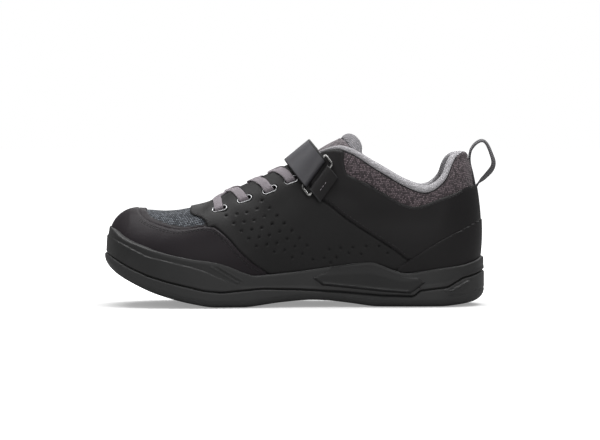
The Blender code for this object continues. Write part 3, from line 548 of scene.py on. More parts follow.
def bandFinish(name, dark, light, pitch, slant, depth):
    made, tree, shader = newFinish(name, 0.8, 0.3, sheen=0.1)
    ribs = add(tree, "ShaderNodeGroup", {"Pitch": pitch, "Slant": slant}, node_tree=ribGroup)
    # ribs painted lighter on their crests and darker in their troughs: painted shade following the bump
    plug(tree, shader, {"Base Color": blend(tree, ribs["Height"], dark, light, 0.1, 0.9),
                        "Normal": bump(tree, ribs["Height"], depth)})
    return made


def metalFinish(name, dark, light, rough):
    made, tree, shader = newFinish(name, rough, 0.5, 1.0)
    grain = add(tree, "ShaderNodeGroup", {"Cells": 1500.0, "Clouds": 300.0}, node_tree=grainGroup)
    plug(tree, shader, {"Base Color": blend(tree, grain["Tone"], dark, light),
                        "Normal": bump(tree, grain["Height"], 0.01)})
    return made


# dark, light, roughness from and to, cells a metre, depth, clouds a metre, gloss
grainTable = {
    "capSkin": ((0.0140, 0.0108, 0.0133), (0.0195, 0.0152, 0.0185), (0.42, 0.52), 1100.0, 0.05, 18.0, 0.22),
    "quarterSkin": ((0.0140, 0.0136, 0.0138), (0.0192, 0.0186, 0.0190), (0.46, 0.56), 1200.0, 0.045, 18.0, 0.24),
    "rearSkin": ((0.0140, 0.0131, 0.0136), (0.0188, 0.0177, 0.0184), (0.48, 0.58), 1200.0, 0.04, 18.0, 0.22),
    "strapSkin": ((0.055, 0.054, 0.060), (0.080, 0.078, 0.087), (0.40, 0.50), 1600.0, 0.05, 18.0, 0.5),
    "strapEdge": ((0.012, 0.012, 0.013), (0.02, 0.02, 0.021), (0.6, 0.7), 900.0, 0.05),
    "cupRubber": ((0.0232, 0.0232, 0.0235), (0.0298, 0.0298, 0.0301), (0.42, 0.52), 1400.0, 0.04, 30.0, 0.42),
    "plateRubber": ((0.0165, 0.0165, 0.0168), (0.0215, 0.0215, 0.0218), (0.46, 0.56), 1400.0, 0.04, 30.0, 0.34),
    "treadRubber": ((0.0320, 0.0320, 0.0324), (0.0410, 0.0410, 0.0412), (0.5, 0.62), 1300.0, 0.05, 30.0, 0.4),
}
# dark (painted shade between the loops, and an open knit's dark backing), light, tint, pitch, stretch, depth
knitTable = {
    "vampKnit": ((0.012, 0.014, 0.017), (0.165, 0.18, 0.205), (0.05, 0.058, 0.07), 1.7, 1.0, 0.35),
    "collarKnit": ((0.055, 0.044, 0.049), (0.25, 0.198, 0.215), (0.062, 0.051, 0.055), 1.4, 1.0, 0.22),
    "liningKnit": ((0.25, 0.243, 0.256), (0.84, 0.82, 0.855), (0.60, 0.585, 0.61), 1.1, 1.0, 0.3),
    "padKnit": ((0.13, 0.126, 0.134), (0.47, 0.455, 0.48), (0.31, 0.30, 0.318), 1.1, 1.0, 0.3),
    # the inside's lining, a lighter and flatter copy of the rolled lining: painted light on the shaded inside of the
    # shoe
    "innerKnit": ((0.34, 0.33, 0.345), (0.82, 0.80, 0.83), (0.66, 0.645, 0.67), 1.1, 1.0, 0.25),
    "tongueKnit": ((0.085, 0.074, 0.079), (0.38, 0.335, 0.355), (0.17, 0.150, 0.159), 1.2, 1.1, 0.3),
    "footbedCloth": ((0.02, 0.02, 0.022), (0.075, 0.072, 0.078), (0.05, 0.048, 0.053), 1.1, 1.0, 0.2),
}
# dark (painted shade in the rib troughs), light, pitch, slant, depth
bandTable = {
    "laceWeave": ((0.15, 0.132, 0.148), (0.455, 0.41, 0.442), 1.1, 0.7, 0.3),
    "loopWeave": ((0.055, 0.053, 0.057), (0.16, 0.155, 0.165), 1.5, 0.0, 0.3),
    "threadDark": ((0.012, 0.012, 0.013), (0.04, 0.038, 0.041), 0.5, 0.8, 0.05),
}
# dark, light, roughness
metalTable = {
    "eyeletMetal": ((0.26, 0.26, 0.265), (0.40, 0.40, 0.41), 0.2),
    "ringMetal": ((0.22, 0.22, 0.215), (0.36, 0.355, 0.35), 0.2),
}
finish = {name: make(name, *values)
          for make, table in ((grainFinish, grainTable), (knitFinish, knitTable), (bandFinish, bandTable),
                              (metalFinish, metalTable)) for name, values in table.items()}
print("finishes ready")


# cup sole

columnsSole = evenPlaces(0.0, float(loopPlaces), 0.68, lambda k: planAt(k, 0.0))
soleParting = 0.15  # half the gap between cup and tread
cup = {"setback": 1.7, "lowRound": 1.3, "lipDrop": 2.2, "lipWide": 1.9, "wallRows": 40, "plate": 1.6,
       "plateChamfer": 1.3, "under": 6.0, "floorInset": 7.0, "stepUnderRim": 4.0, "lipRows": 7, "inside": 0.45}
# ribs (plus) and cuts (minus) on the cup's side: from x, z to x, z, width, height
cupRelief = ((-64.5, 31.8, -44, 19.5, 0.8, 0.55), (-60.5, 31.4, -42, 20.3, 0.5, -0.4),
             (-57.5, 31.2, -40, 20.8, 0.5, 0.3), (36, 21, 60, 19, 0.6, -0.3))
heelRelief = ((122.4, 12.4, 135.7, 19.8, 0.75, 1.5), (121.0, 9.0, 133, 9.6, 0.7, -0.5),
              (141.5, 12.4, 149.5, 13.6, 0.7, -0.5), (118, 12.6, 121.6, 12.6, 0.7, 0.4))


def chain(z, stops):  # value that runs straight between stops, each a height and a value per column
    value = np.broadcast_to(stops[0][1], z.shape).copy()
    for (z0, a), (z1, b) in zip(stops, stops[1:]):
        share = np.clip((z - z0) / np.maximum(z1 - z0, 1e-6), 0, 1)
        value = np.where(z >= z0, a + (b - a) * share, value)
    return value


def centreLine(k, inset):  # middle of the sole between the two sides at the same place
    return (planAt(k, inset) + planAt(loopPlaces - k, inset)) / 2


def overFloor(plan, lift=0.0):
    return at3(plan, lineAt("floor", plan[..., 0]) + lift)


def skinAtHeight(k, z, offset, halvings=22):  # point off the upper's outer face at a height
    def offFace(v):
        return wallPoint(k, v) + wallNormal(k, v) * offset[..., None]

    low, high = np.zeros(k.shape), np.full(k.shape, 0.9)
    for _ in range(halvings):
        middle = (low + high) / 2
        below = offFace(middle)[..., 2] < z
        low, high = np.where(below, middle, low), np.where(below, high, middle)
    return offFace(low)


def makeMidsole():
    k, drop = columnsSole, cup["lipDrop"]
    x = lastAt(k)[..., 0]
    lean, rim = lineAt("lean", x), lineAt("rim", x)
    split = lineAt("split", x) + soleParting
    step = np.minimum(lineAt("step", x), rim - cup["stepUnderRim"])
    z = split + (rim - drop - split) * np.linspace(0, 1, cup["wallRows"])[:, None]
    inset = chain(z, [(split, cup["setback"]), (split + cup["lowRound"], lean * 0.3), (step - 0.5, lean / 2),
                      (step + 0.4, lean / 2 + 0.2 + lineAt("stepInset", x)), (rim - drop, lean)])
    inset = inset - reliefAt(cupRelief, np.broadcast_to(x, z.shape), z)
    rows = [at3(centreLine(k, cup["under"]), split), at3(planAt(k, cup["under"]), split)]
    rows += [at3(planAt(k, inset[row]), z[row]) for row in range(len(z))]
    lap = lastAt(k)[..., 11] + last["seat"]
    inner = skinAtHeight(k, rim - 0.6, lap)
    edge = planAt(k, lean)
    way = inner[..., :2] - edge
    gap = np.linalg.norm(way, axis=-1)
    way /= gap[..., None]
    for angle in np.linspace(0.15, 1.0, cup["lipRows"]) * math.pi / 2:  # rounded lip, then nearly level to the upper
        across = np.minimum(cup["lipWide"], gap * 0.8) * (1 - math.cos(angle))
        rows.append(at3(edge + way * across[..., None], rim - drop * (1 - math.sin(angle))))
    low = (wallPoint(k, 0.0) + wallNormal(k, 0.0) * lap[..., None])[..., :2]
    floor = lineAt("floor", low[..., 0])
    rows += [inner, at3(low, floor + (rim - floor) * cup["inside"]), at3(low, floor)]
    rows.append(overFloor(centreLine(k, cup["floorInset"])))
    dress(gridPiece("cup_midsole", np.array(rows), flip=True, angle=38), "cup_rubber", ["midsole"], "cupRubber")


# tread: its edge as inset, lift and least distance below the parting; grooves as x and rake
tread = {"edge": ((9.0, 0.0, 0.0), (3.2, 0.5, 0.0), (0.9, 2.8, 1.6), (0.0, 5.5, 1.0)), "setback": 1.3,
         "acrossRows": 46, "sideRows": 22, "grooveEdge": 11.5, "grooveWide": 4.0,
         "cuts": ((0.0, 4.0, 2.5), (-4.2, 0.9, 0.9)), "ends": 0.8, "flank": 0.7}  # cuts: shift, width, depth
grooves = ((-116, 6), (-103, 6), (-90, 6), (-77, 6), (-58, 6), (-45, 6), (-27, 6), (66, -6), (79, -6), (92, -6),
           (105, -6), (124, -6))


def treadRelief(x, y):
    half = np.linspace(0, toePlace, 400)
    inner, outer = planAt(half, 0.0), planAt(loopPlaces - half, 0.0)
    depth = np.zeros(x.shape)
    for place, rake in grooves:
        low = np.interp(-place, -inner[:, 0], inner[:, 1]) + tread["grooveEdge"]
        high = np.interp(-place, -outer[:, 0], outer[:, 1]) - tread["grooveEdge"]
        away = np.abs(y - (low + high) / 2) / ((high - low) / 2)
        ends = np.clip((1.0 - away) * (high - low) / 2 / tread["ends"], 0, 1)
        for shift, wide, deep in tread["cuts"]:
            off = np.abs(x - place - rake * away - tread["grooveWide"] / 2 - shift)
            flank = np.clip((wide / 2 + tread["flank"] / 2 - off) / tread["flank"], 0, 1)
            depth = np.maximum(depth, deep * ends * flank)
    return depth


def makeOutsole():
    k = columnsSole
    x = lastAt(k)[..., 0]
    split = lineAt("split", x) - soleParting
    edge = planAt(k, tread["edge"][0][0])
    middle = (edge + edge[::-1]) / 2
    rows = []
    for share in np.linspace(0, 1, tread["acrossRows"], endpoint=False):
        plan = middle + (edge - middle) * share
        rows.append(at3(plan, lineAt("bottom", plan[..., 0]) + treadRelief(plan[..., 0], plan[..., 1])))
    for inset, lift, below in curved(tread["edge"], 5):
        plan = planAt(k, max(inset, 0.0))
        z = lineAt("bottom", plan[..., 0]) + max(lift, 0.0)
        rows.append(at3(plan, np.minimum(z, split - below if below > 0.01 else farAway)))
    low = rows[-1][..., 2]
    for share in np.linspace(0.1, 1, tread["sideRows"]):
        z = low + (split - low) * share
        inset = tread["setback"] * np.clip(1 - (split - z) / 1.2, 0, 1) ** 2 - reliefAt(heelRelief, x, z)
        rows.append(at3(planAt(k, inset), z))
    rows += [at3(planAt(k, cup["under"]), split), at3(centreLine(k, cup["under"]), split)]
    dress(gridPiece("tread_outsole", np.array(rows), flip=True, angle=40), "outsole_rubber", ["outsole"], "treadRubber")


# footbed: its edge as inset and lift, then shares of the way across its top
footbed = {"columns": 361, "edge": ((11.0, 0.5), (10.4, 1.2), (10.4, 3.6), (10.9, 4.3), (12.5, 4.5)),
           "across": (0.75, 0.5, 0.25), "dip": 0.5, "middle": (0.5, 4.3), "fill": 0.8}


def makeInsole():
    k = np.linspace(0, loopPlaces, footbed["columns"])
    (low, high), (rimInset, rimLift) = footbed["middle"], footbed["edge"][-1]
    centre, rim = centreLine(k, rimInset), planAt(k, rimInset)
    rows = [overFloor(centre, low)] + [overFloor(planAt(k, inset), lift) for inset, lift in footbed["edge"]]
    rows += [overFloor(centre + (rim - centre) * share, rimLift - footbed["dip"] * (1 - share))
             for share in footbed["across"]]
    points = np.array(rows + [overFloor(centre, high)])
    obj = gridPiece("footbed", points, flip=True, uv=points[..., :2])
    dress(obj, "footbed", ["insole"], "footbedCloth")


makeMidsole()
makeOutsole()
makeInsole()
print("sole ready")


# upper shell: knit outside, padded collar, lined inside; rollEdge is place and how far above the edge the lining starts

upper = {"perPlace": 14, "lowRows": 30, "rimRows": 15, "innerRows": 30, "seamAt": 1.8, "seamDent": 0.9,
         "seamWide": 0.45, "rollFull": 0.5, "padFull": 1.1, "padReach": 17.0, "padTo": 8.0, "collarTo": 8.75,
         "rollEdge": ((0.4, 2.6), (0.9, 2.0), (1.5, 0.9), (2.4, -1.8)), "rimSpan": 3.3, "sewnHalf": 0.35,
         "underPanel": 0.6, "underSeam": -1.4, "vampFrom": 10.5}
# rows below the edge
collarRows = np.array((20, 17, 14, 11.5, 9.4, 7.6, 6.1, 4.9, 3.9, 3.1, 2.5, 2.1, 1.8, 1.5, 1.2, 0.8, 0.4, 0))


def liningStart(near):
    return np.interp(near, *zip(*upper["rollEdge"]))


def padAt(k, v):  # rolled edge, a sewn line below it and the puffed collar
    down, near = toTop(k, v), fromHeel(k)
    collar = np.clip((upper["collarTo"] - near) / 0.6, 0, 1)
    roll = upper["rollFull"] * np.clip(1 - (down / upper["seamAt"]) ** 2, 0, 1)
    puff = np.sin(np.pi * np.clip((down - upper["seamAt"]) / upper["padReach"], 0, 1)) * upper["padFull"]
    dent = upper["seamDent"] * np.exp(-((down + liningStart(near)) / upper["seamWide"]) ** 2)
    return collar * (roll + puff * np.clip((upper["padTo"] - near) / 0.8, 0, 1) - dent)


def upperKinds(k, outer, rim, rows):  # 0 vamp, 1 collar, 2 rolled lining, 3 dark: cloth under the panels, painted shade in the seam gaps between them, and the collar's sewn line, 4 inside, a lighter copy of the lining
    kinds = np.full((rows - 1, len(k) - 1), 2)
    near = fromHeel((k[:-1] + k[1:]) / 2)
    collar = near < upper["collarTo"]
    faces = kinds[:len(outer) - 1]
    faces[:] = np.where(collar, 1, 0)
    middles = (outer[:-1, :-1] + outer[1:, 1:]) / 2
    depths = np.array([sideDistance(spec["outline"], middles[..., 0], middles[..., 2]) for spec in panels.values()])
    # faces under a panel or in the gap where two panels meet are dark: painted shade in the seam gaps
    faces[(depths > upper["underPanel"]).any(axis=0) | ((depths > upper["underSeam"]).sum(axis=0) > 1)] = 3
    kinds[len(outer) + len(rim):] = 4
    band = kinds[len(outer) - len(collarRows):len(outer) + len(rim)]  # the collar's top rows and the rim over it
    above = np.append(-collarRows[1:], np.arange(len(rim) + 1) * math.pi * upper["rimSpan"] / len(rim))[:, None]
    start = liningStart(near)
    band[(above > start - 0.1) & collar] = 2
    band[(above <= start - 0.1) & (above > -0.01) & collar] = 1
    band[(np.abs(above - start) < upper["sewnHalf"]) & collar] = 3
    return kinds


def makeUpper():
    k = np.linspace(0, loopPlaces, loopPlaces * upper["perPlace"] + 1)
    near, ridge = fromHeel(k), onRidge(k)
    vTop = 1 - collarRows[:, None] / toTop(k, 0.0)
    vRows = np.concatenate((vTop[0] * np.linspace(0, 1, upper["lowRows"])[:-1, None], vTop))
    outer = np.array([skin(k, v, padAt(k, v)) for v in vRows])
    inner = np.array([wallPoint(k, v) - wallNormal(k, v) * wallThickness(k, v)[..., None] + collarMove(*pair(k, v))
                      for v in np.linspace(1, 0, upper["innerRows"])])
    middle, half = (outer[-1] + inner[0]) / 2, (outer[-1] - inner[0]) / 2
    rise = unit(wallPoint(k, 1.0) - wallPoint(k, 0.97))
    swell = np.linalg.norm(half, axis=-1) * np.clip((last["collarTo"] - near) / last["collarFade"], 0, 1)
    angles = np.pi * np.arange(1, upper["rimRows"] + 1) / (upper["rimRows"] + 1)
    rim = np.array([middle + half * np.cos(a) + rise * (swell * np.sin(a))[..., None] for a in angles])
    points = np.concatenate((outer, rim, inner, outer[:1]))
    drop = np.zeros((len(points) - 1, len(k) - 1), bool)
    drop[len(outer) - 1:len(outer) + len(rim)] = ridge[:-1] & ridge[1:]
    height = lengthsAlong(points)
    uv = np.stack((np.broadcast_to(lengthsAlong(wallPoint(k, 0.9)), height.shape), height), -1)
    vamp = np.zeros(height.shape, bool)
    vamp[:len(outer)] = near > upper["vampFrom"]
    uv[vamp] = points[..., :2][vamp]  # the vamp's knit runs straight in plan
    kinds = upperKinds(k, outer, rim, len(points))
    obj = gridPiece("lasted_upper", points, flip=True, uv=uv, kinds=kinds, drop=drop)
    dress(obj, "upper_knit", ["upper"], "vampKnit", "collarKnit", "liningKnit", "threadDark", "innerKnit")
    for cutter in [slotCutter(slot) for slot in slotFrames]:
        applyModifier(obj, "BOOLEAN", operation="DIFFERENCE", solver="EXACT", object=cutter)
        bpy.data.objects.remove(cutter, do_unlink=True)


# slot eyelets of one side, toe end first: x and z in side view
eyelets = ((-58.5, 75.6), (-39.0, 83.2), (-19.3, 90.6), (-2.4, 98.4))
slotSize = {"long": 10.4, "wide": 4.4, "rim": 0.7, "clear": 0.35, "around": 44, "cutterAround": 24,
            "cutterDepths": (-7.0, 5.0), "reach": 9}
slotStraight = (slotSize["long"] - slotSize["wide"]) / 2


def findSlots():
    found = []
    for side, word in sides:
        for number, place in enumerate(zip(*onSide(*zip(*eyelets), side)), 1):
            k, v = np.array(place)[:, None]
            out = wallNormal(k, v)[0]
            long = (wallPoint(k + nudge, v) - wallPoint(k - nudge, v))[0]
            long = unit(long - out * np.dot(long, out))
            found.append({"name": f"{word}_{number}", "side": side, "k": k[0], "v": v[0], "out": out, "long": long,
                          "short": np.cross(out, long), "centre": skin(k, v, 0.0)[0]})
    return found


slotFrames = findSlots()


def slotLoop(slot, grow, depth, count):
    angles = np.linspace(0, 2 * np.pi, count, endpoint=False)
    radius = slotSize["wide"] / 2 + grow
    along = radius * np.cos(angles) + slotStraight * np.sign(np.round(np.cos(angles), 6))
    across = radius * np.sin(angles)
    return slot["centre"] + np.outer(along, slot["long"]) + np.outer(across, slot["short"]) + slot["out"] * depth


def slotCutter(slot):
    count = slotSize["cutterAround"]
    rows = [slotLoop(slot, slotSize["rim"] + slotSize["clear"], depth, count) for depth in slotSize["cutterDepths"]]
    faces = [(i, (i + 1) % count, count + (i + 1) % count, count + i) for i in range(count)]
    faces += [tuple(range(count - 1, -1, -1)), tuple(range(count, 2 * count))]
    obj = arrayPiece(f"slot_cutter_{slot['name']}", np.concatenate(rows), faces)
    fixNormals(obj)
    return obj


def slotDistance(points):  # distance outside the nearest slot
    nearest = np.full(points.shape[:-1], farAway)
    for slot in slotFrames:
        off = points - slot["centre"]
        along = np.maximum(np.abs(off @ slot["long"]) - slotStraight, 0)
        away = np.hypot(along, off @ slot["short"]) - slotSize["wide"] / 2 - slotSize["rim"]
        nearest = np.minimum(nearest, np.where(np.abs(off @ slot["out"]) < slotSize["reach"], away, farAway))
    return nearest


# overlays: panels of synthetic leather laid on the upper and cut to their seams in side view

capLine = curved(((-123.4, 76.5), (-121.8, 72.8), (-115.2, 67.5), (-99.2, 62.2), (-88.6, 60.8), (-72.6, 63),
                  (-63.5, 63.2)), 6)
capSide = curved(((-63.5, 63.2), (-56.6, 58.2), (-50.1, 52), (-42.7, 43.5), (-32.1, 34), (-22.4, 27), (-6, 12)), 6)
# the strip under the cap's edge, seen in front of it on the vamp
stripLine = curved(((-117.2, 78.2), (-116.2, 75.0), (-111.8, 70.4), (-98.3, 65.1), (-88.4, 63.4), (-73.0, 64.6),
                    (-63.5, 63.2)), 6)
stayLine = curved(((-82.4, 74.2), (-80.2, 72.7), (-77.3, 71.7), (-74, 70.4), (-71, 68.4), (-69.1, 65.8),
                   (-68.2, 62.7)), 6)
rearLine = curved(((9.5, 106), (12.5, 95), (17.4, 87.3), (28, 79.6), (40.8, 69.2), (60, 56.4), (79.2, 44),
                   (87, 37.5)), 6)
counterLine = curved(((80, 30.5), (87.5, 35.4), (102.6, 45.5), (119.7, 55.2), (148.5, 69), (170, 79)), 6)
collarLine = curved(((143.2, 94.6), (134.7, 93), (125.5, 88.8), (113.3, 84.5), (101.2, 80), (93.9, 78.6),
                     (89, 79.2), (79.8, 82.8), (67.3, 90.6), (58.1, 95.5), (49, 100.2), (41, 104.2), (38, 113.5)), 6)


def shifted(line, dx, dz):
    return [(x + dx, z + dz) for x, z in line]


# perforations: first hole of each slanting row as x and z with its count, then single holes low behind
holeRows = ((-25.9, 83.2, 7), (-29.6, 76.8, 7), (-37.5, 73.9, 7), (-45.4, 72.6, 6), (-53.6, 71.4, 5))
holeStep = (5.95, -5.85)
holesBehind = ((14.3, 37.0), (23.1, 38.2), (32.6, 38.7), (42.2, 42.2), (51.7, 41.4), (72.4, 42.2),
               (27.1, 44.9), (35.8, 46.2), (45.4, 46.6), (55.7, 47.6), (65.6, 47.7), (28.2, 34.4))
holeSize = 0.7
holes = [(x + holeStep[0] * n, z + holeStep[1] * n) for x, z, count in holeRows for n in range(count)]
holes += list(holesBehind)


def holeDistance(x, z):
    return np.min([np.hypot(x - hx, z - hz) for hx, hz in holes], axis=0) - holeSize


panels = {
    "toe_cap_panel": {"outline": [(-175, -5), (-175, 95), (-117.3, 95), *stripLine, *capSide[1:], (10, -5)],
                      "k": (9.0, 23.0), "v": (0.05, 1.0), "cell": 0.8, "thick": 1.75, "edge": 1.0,
                      "cuts": ((capLine, 0.6, 0.6), (shifted(capSide[2:], -2.2, -2.2), 0.55, 0.4)),
                      "step": ([(-175, -5), (-175, 95), (-124.2, 95), *capLine, *shifted(capSide[1:], 3, 3),
                                (20, -5)], 0.6), "node": "toe_cap", "finish": "capSkin"},
    "quarter_panel": {"outline": [(-82.5, 95), *stayLine, *shifted(capSide, 0.45, 0.45), (10, -5), (88, -5),
                                  (88, 36.5), *shifted(rearLine[::-1], -0.45, -0.45), (8, 140)],
                      "k": (3.2, 28.8), "v": (0.05, 1.0), "cell": 0.72, "thick": 1.2, "edge": 0.8,
                      "holes": True, "node": "quarter", "finish": "quarterSkin"},
    "rear_quarter_panel": {"outline": [(8, 140), *rearLine, *shifted(counterLine[8:], 0, -1.6), *collarLine,
                                       (37, 140)],
                           "k": (-9.2, 9.2), "v": (0.05, 1.0), "cell": 0.85, "thick": 2.0, "edge": 1.2,
                           "below": 2.0, "node": "rear_quarter", "finish": "rearSkin"},
    "heel_counter_panel": {"outline": [(80, -5), *counterLine, (175, -5)],
                           "k": (-5.2, 5.2), "v": (0.05, 0.8), "cell": 0.85, "thick": 2.7, "edge": 1.1,
                           "node": "heel_counter", "finish": "rearSkin"},
}
panelLift = 0.3
panelEdge = {"snap": 0.55, "leastSlope": 0.04, "mostSlide": 0.6, "fall": 0.55, "bend": 2, "stepWide": 0.8,
             "holeKept": 0.4, "skimp": 0.1, "sharp": 45}


def panelGrid(spec, surface):
    first, end = spec["k"]
    cell = spec["cell"]
    kList = evenPlaces(first, end, cell, lambda k: surface(k, 0.5, 0.0))
    if first < toePlace < end:  # the same places on both sides, so the ridge closes
        half = evenPlaces(first, toePlace, cell, lambda k: surface(k, 0.5, 0.0))
        kList = np.concatenate((half, loopPlaces - half[-2::-1]))
    middle = (first + end) / 4 + 4  # half way along one side
    return kList, evenPlaces(*spec["v"], cell, lambda v: surface(np.full(v.shape, middle), v, 0.0))


def ontoEdge(kList, vList, places, depth, cell):  # slides vertices next to an edge onto it
    alongV, alongK = (np.linalg.norm(np.gradient(places, axis=axis), axis=-1) + 1e-6 for axis in (0, 1))
    slopeK, slopeV = np.gradient(depth, axis=1) / alongK, np.gradient(depth, axis=0) / alongV
    steep = np.maximum(slopeK ** 2 + slopeV ** 2, 1e-6)
    near = (np.abs(depth) < panelEdge["snap"] * cell) & (steep > panelEdge["leastSlope"])
    most = panelEdge["mostSlide"]
    moveK = np.where(near, np.clip(-depth * slopeK / steep / alongK, -most, most), 0)
    moveV = np.where(near, np.clip(-depth * slopeV / steep / alongV, -most, most), 0)
    moveV[-1] = 0
    columns, rows = np.arange(len(kList)), np.arange(len(vList))
    k = np.interp(columns[None] + moveK, columns, kList)
    v = np.interp(rows[:, None] + moveV, rows, vList)
    return k, v, np.where(near, 0.0, depth)


def heldFaces(points, inside, perforated):  # whole cells and the triangles left at a cut corner
    index = np.arange(inside.size).reshape(inside.shape)
    corners = np.stack((index[:-1, :-1], index[1:, :-1], index[1:, 1:], index[:-1, 1:]), -1).reshape(-1, 4)
    held = inside.ravel()[corners]
    if perforated:
        middles = points[corners].mean(axis=1)
        held &= (holeDistance(middles[:, 0], middles[:, 2]) > -panelEdge["holeKept"] * holeSize)[:, None]
    cut = held.sum(axis=1) == 3
    return corners[held.all(axis=1)].tolist() + [face[kept].tolist() for face, kept in zip(corners[cut], held[cut])]


def makePanel(name, spec, surface=skin, slot="overlay_leather"):
    kList, vList = panelGrid(spec, surface)
    k, v = np.meshgrid(kList, vList)
    lift, thick = spec.get("lift", panelLift), spec["thick"]
    places = surface(k, v, lift + thick)
    x, z = places[..., 0], places[..., 2]
    depth = seamDepth = sideDistance(spec["outline"], x, z)
    if "below" in spec:  # stops under the rolled edge of the collar
        collar = np.clip((upper["collarTo"] - fromHeel(k)) / 0.3, 0, 1)
        depth = seamDepth = np.minimum(seamDepth, toTop(k, v) - spec["below"] * collar)
    if "holes" in spec:
        depth = np.minimum(depth, np.minimum(holeDistance(x, z), slotDistance(places)))
    k, v, depth = ontoEdge(kList, vList, places, depth, spec["cell"])
    rimDepth = np.where(onRidge(k) | (surface is not skin), farAway, toTop(k, v))
    edgeDepth = np.clip(np.minimum(np.minimum(depth, seamDepth), rimDepth), 0, None)
    fall, bend = spec.get("fall", panelEdge["fall"]), spec.get("bend", panelEdge["bend"])
    profile = 1 - fall * (1 - np.clip(edgeDepth / spec["edge"], 0, 1)) ** bend
    if "fade" in spec:  # runs out towards the top
        profile *= fadeOut(v, *spec["fade"])
    height = lift + thick * profile
    for line, wide, deep in spec.get("cuts", ()):
        height -= deep * np.exp(-(pathDistance(line, x, z) / wide) ** 2)
    if "step" in spec:  # thinner beyond this line
        outline, drop = spec["step"]
        height -= drop * np.clip(0.5 - sideDistance(outline, x, z) / panelEdge["stepWide"], 0, 1)
    points = surface(k, v, height).reshape(-1, 3)
    faces = heldFaces(points, depth >= 0, "holes" in spec)
    used = np.unique(np.concatenate(faces))
    fresh = np.zeros(k.size, int)
    fresh[used] = np.arange(len(used))
    obj = arrayPiece(name, points[used], [fresh[face].tolist() for face in faces])
    weld(obj)
    applyModifier(obj, "SOLIDIFY", thickness=(thick - panelEdge["skimp"]) * millimetre, offset=-1.0)
    smoothShade(obj, panelEdge["sharp"])
    dress(obj, slot, [spec["node"]] if "node" in spec else [], spec["finish"])


makeUpper()
print("upper ready")
for panelName, panelSpec in panels.items():
    makePanel(panelName, panelSpec)


def cupSide(k, v, offset):  # plain side of the cup: v 0 at the split, 1 at the rim
    k, v = pair(k, v)
    x = lastAt(k)[..., 0]
    split, rim = lineAt("split", x) + soleParting, lineAt("rim", x)
    return at3(planAt(k, lineAt("lean", x) * (0.3 + 0.7 * v) - offset), split + (rim - split) * v)


# raised plate on the cup's side, with a bead along its lower edge
plateSpec = {"outline": ((14.2, 22.6), (21.6, 16.8), (70.7, 11.6), (90.5, 10.4), (102.2, 19.2), (97.0, 23.0),
                         (84.5, 24.4), (72.0, 29.6), (64.0, 40.0), (40.0, 40.0), (26.0, 28.6)),
             "v": (0.02, 0.98), "lift": -0.15, "cell": 0.55, "thick": cup["plate"], "edge": cup["plateChamfer"],
             "fall": 0.95, "bend": 1, "fade": (0.62, 0.96), "finish": "plateRubber",
             "cuts": ((((22.5, 18.6), (70.7, 13.6), (88.5, 12.4)), 0.75, -0.9),)}
for word, places in (("in", (3.2, 8.2)), ("out", (23.8, 28.8))):
    makePanel(f"arch_plate_{word}", {**plateSpec, "k": places}, cupSide, "cup_rubber")
print("overlays ready")


# eyelets: rolled metal rims with a short sleeve; growth off the slot, height over the stay

eyeletProfile = ((1.0, -0.35), (1.05, 0.0), (0.9, 0.32), (0.55, 0.5), (0.2, 0.42), (0.02, 0.15), (0.0, -0.4),
                 (0.0, -3.0), (0.45, -3.0), (0.5, -0.6))
stayTop = panelLift + panels["quarter_panel"]["thick"]


def makeEyelets():
    for slot in slotFrames:
        rows = [slotLoop(slot, grow, stayTop + high, slotSize["around"]) for grow, high in eyeletProfile]
        rows = np.array(rows + rows[:1])
        obj = gridPiece(f"eyelet_rim_{slot['name']}", np.concatenate((rows, rows[:, :1]), axis=1), angle=60)
        dress(obj, "eyelet_metal", [f"eyelet_{slot['name']}"], "eyeletMetal")


makeEyelets()
print("eyelets ready")


# tongue: knit with a padded, lined top; x, z, half width, sag at the sides, thickness

tongueRows = (
    (-84.0, 73.3, 14.0, 4.2, 2.6),
    (-68.0, 76.8, 17.0, 6.0, 3.4),
    (-44.0, 90.2, 19.5, 10.0, 4.6),
    (-18.0, 102.6, 21.5, 12.0, 5.2),
    (8.0, 115.0, 20.5, 11.0, 6.0),
    (19.0, 122.4, 18.4, 10.0, 6.8),
    (27.0, 127.2, 17.2, 10.2, 7.6),
    (34.0, 130.6, 17.4, 11.0, 9.0),
    (41.0, 134.8, 18.0, 12.5, 12.0),
    (46.6, 134.0, 18.0, 12.5, 11.0),
    (51.0, 130.0, 17.2, 10.5, 7.0),
    (53.0, 125.6, 15.5, 7.5, 2.6),
)
tongue = {"middle": -1.0, "around": 72, "steps": 14, "seamX": 36.5, "seamBack": 11.0, "seamDent": 1.0,
          "seamWide": 0.8, "thinEdge": 0.7, "square": 0.55, "fill": 0.7}


def capped(rows):  # closed at both ends
    ends = [np.broadcast_to(row.mean(axis=0), row.shape) for row in (rows[0], rows[-1])]
    return np.concatenate(([ends[0]], rows, [ends[1]]))


def makeTongue():
    angles = np.linspace(0, 2 * np.pi, tongue["around"] + 1)
    across = np.cos(angles)
    lift = np.sign(np.sin(angles)) * np.abs(np.sin(angles)) ** tongue["square"]
    seam = tongue["seamX"] + tongue["seamBack"] * across ** 2  # the padded top starts further back at the sides
    edge = 1 - tongue["thinEdge"] * across ** 6
    points = []
    for x, z, half, sag, thick in curved(tongueRows, tongue["steps"]):
        dent = tongue["seamDent"] * np.exp(-((x - seam) / tongue["seamWide"]) ** 2)
        height = z - sag * across ** 2 - thick * edge * (1 - lift) / 2 - dent * (lift > 0)
        points.append(np.stack((np.full(across.shape, x), tongue["middle"] + half * across, height), -1))
    points = capped(np.array(points))
    uv = np.stack((points[..., 1], lengthsAlong(points)), -1)
    past = points[:-1, :-1, 0] - seam[:-1]
    kinds = np.where((past > 0) | (lift[:-1] < 0), 1, 0)
    kinds[(np.abs(past) < tongue["seamWide"] * 0.6) & (lift[:-1] > 0)] = 2
    obj = gridPiece("padded_tongue", points, uv=uv, kinds=kinds)
    dress(obj, "tongue_knit", ["tongue"], "tongueKnit", "padKnit", "threadDark")


makeTongue()
print("tongue ready")


# ribbons: flat bands with rounded edges along a path

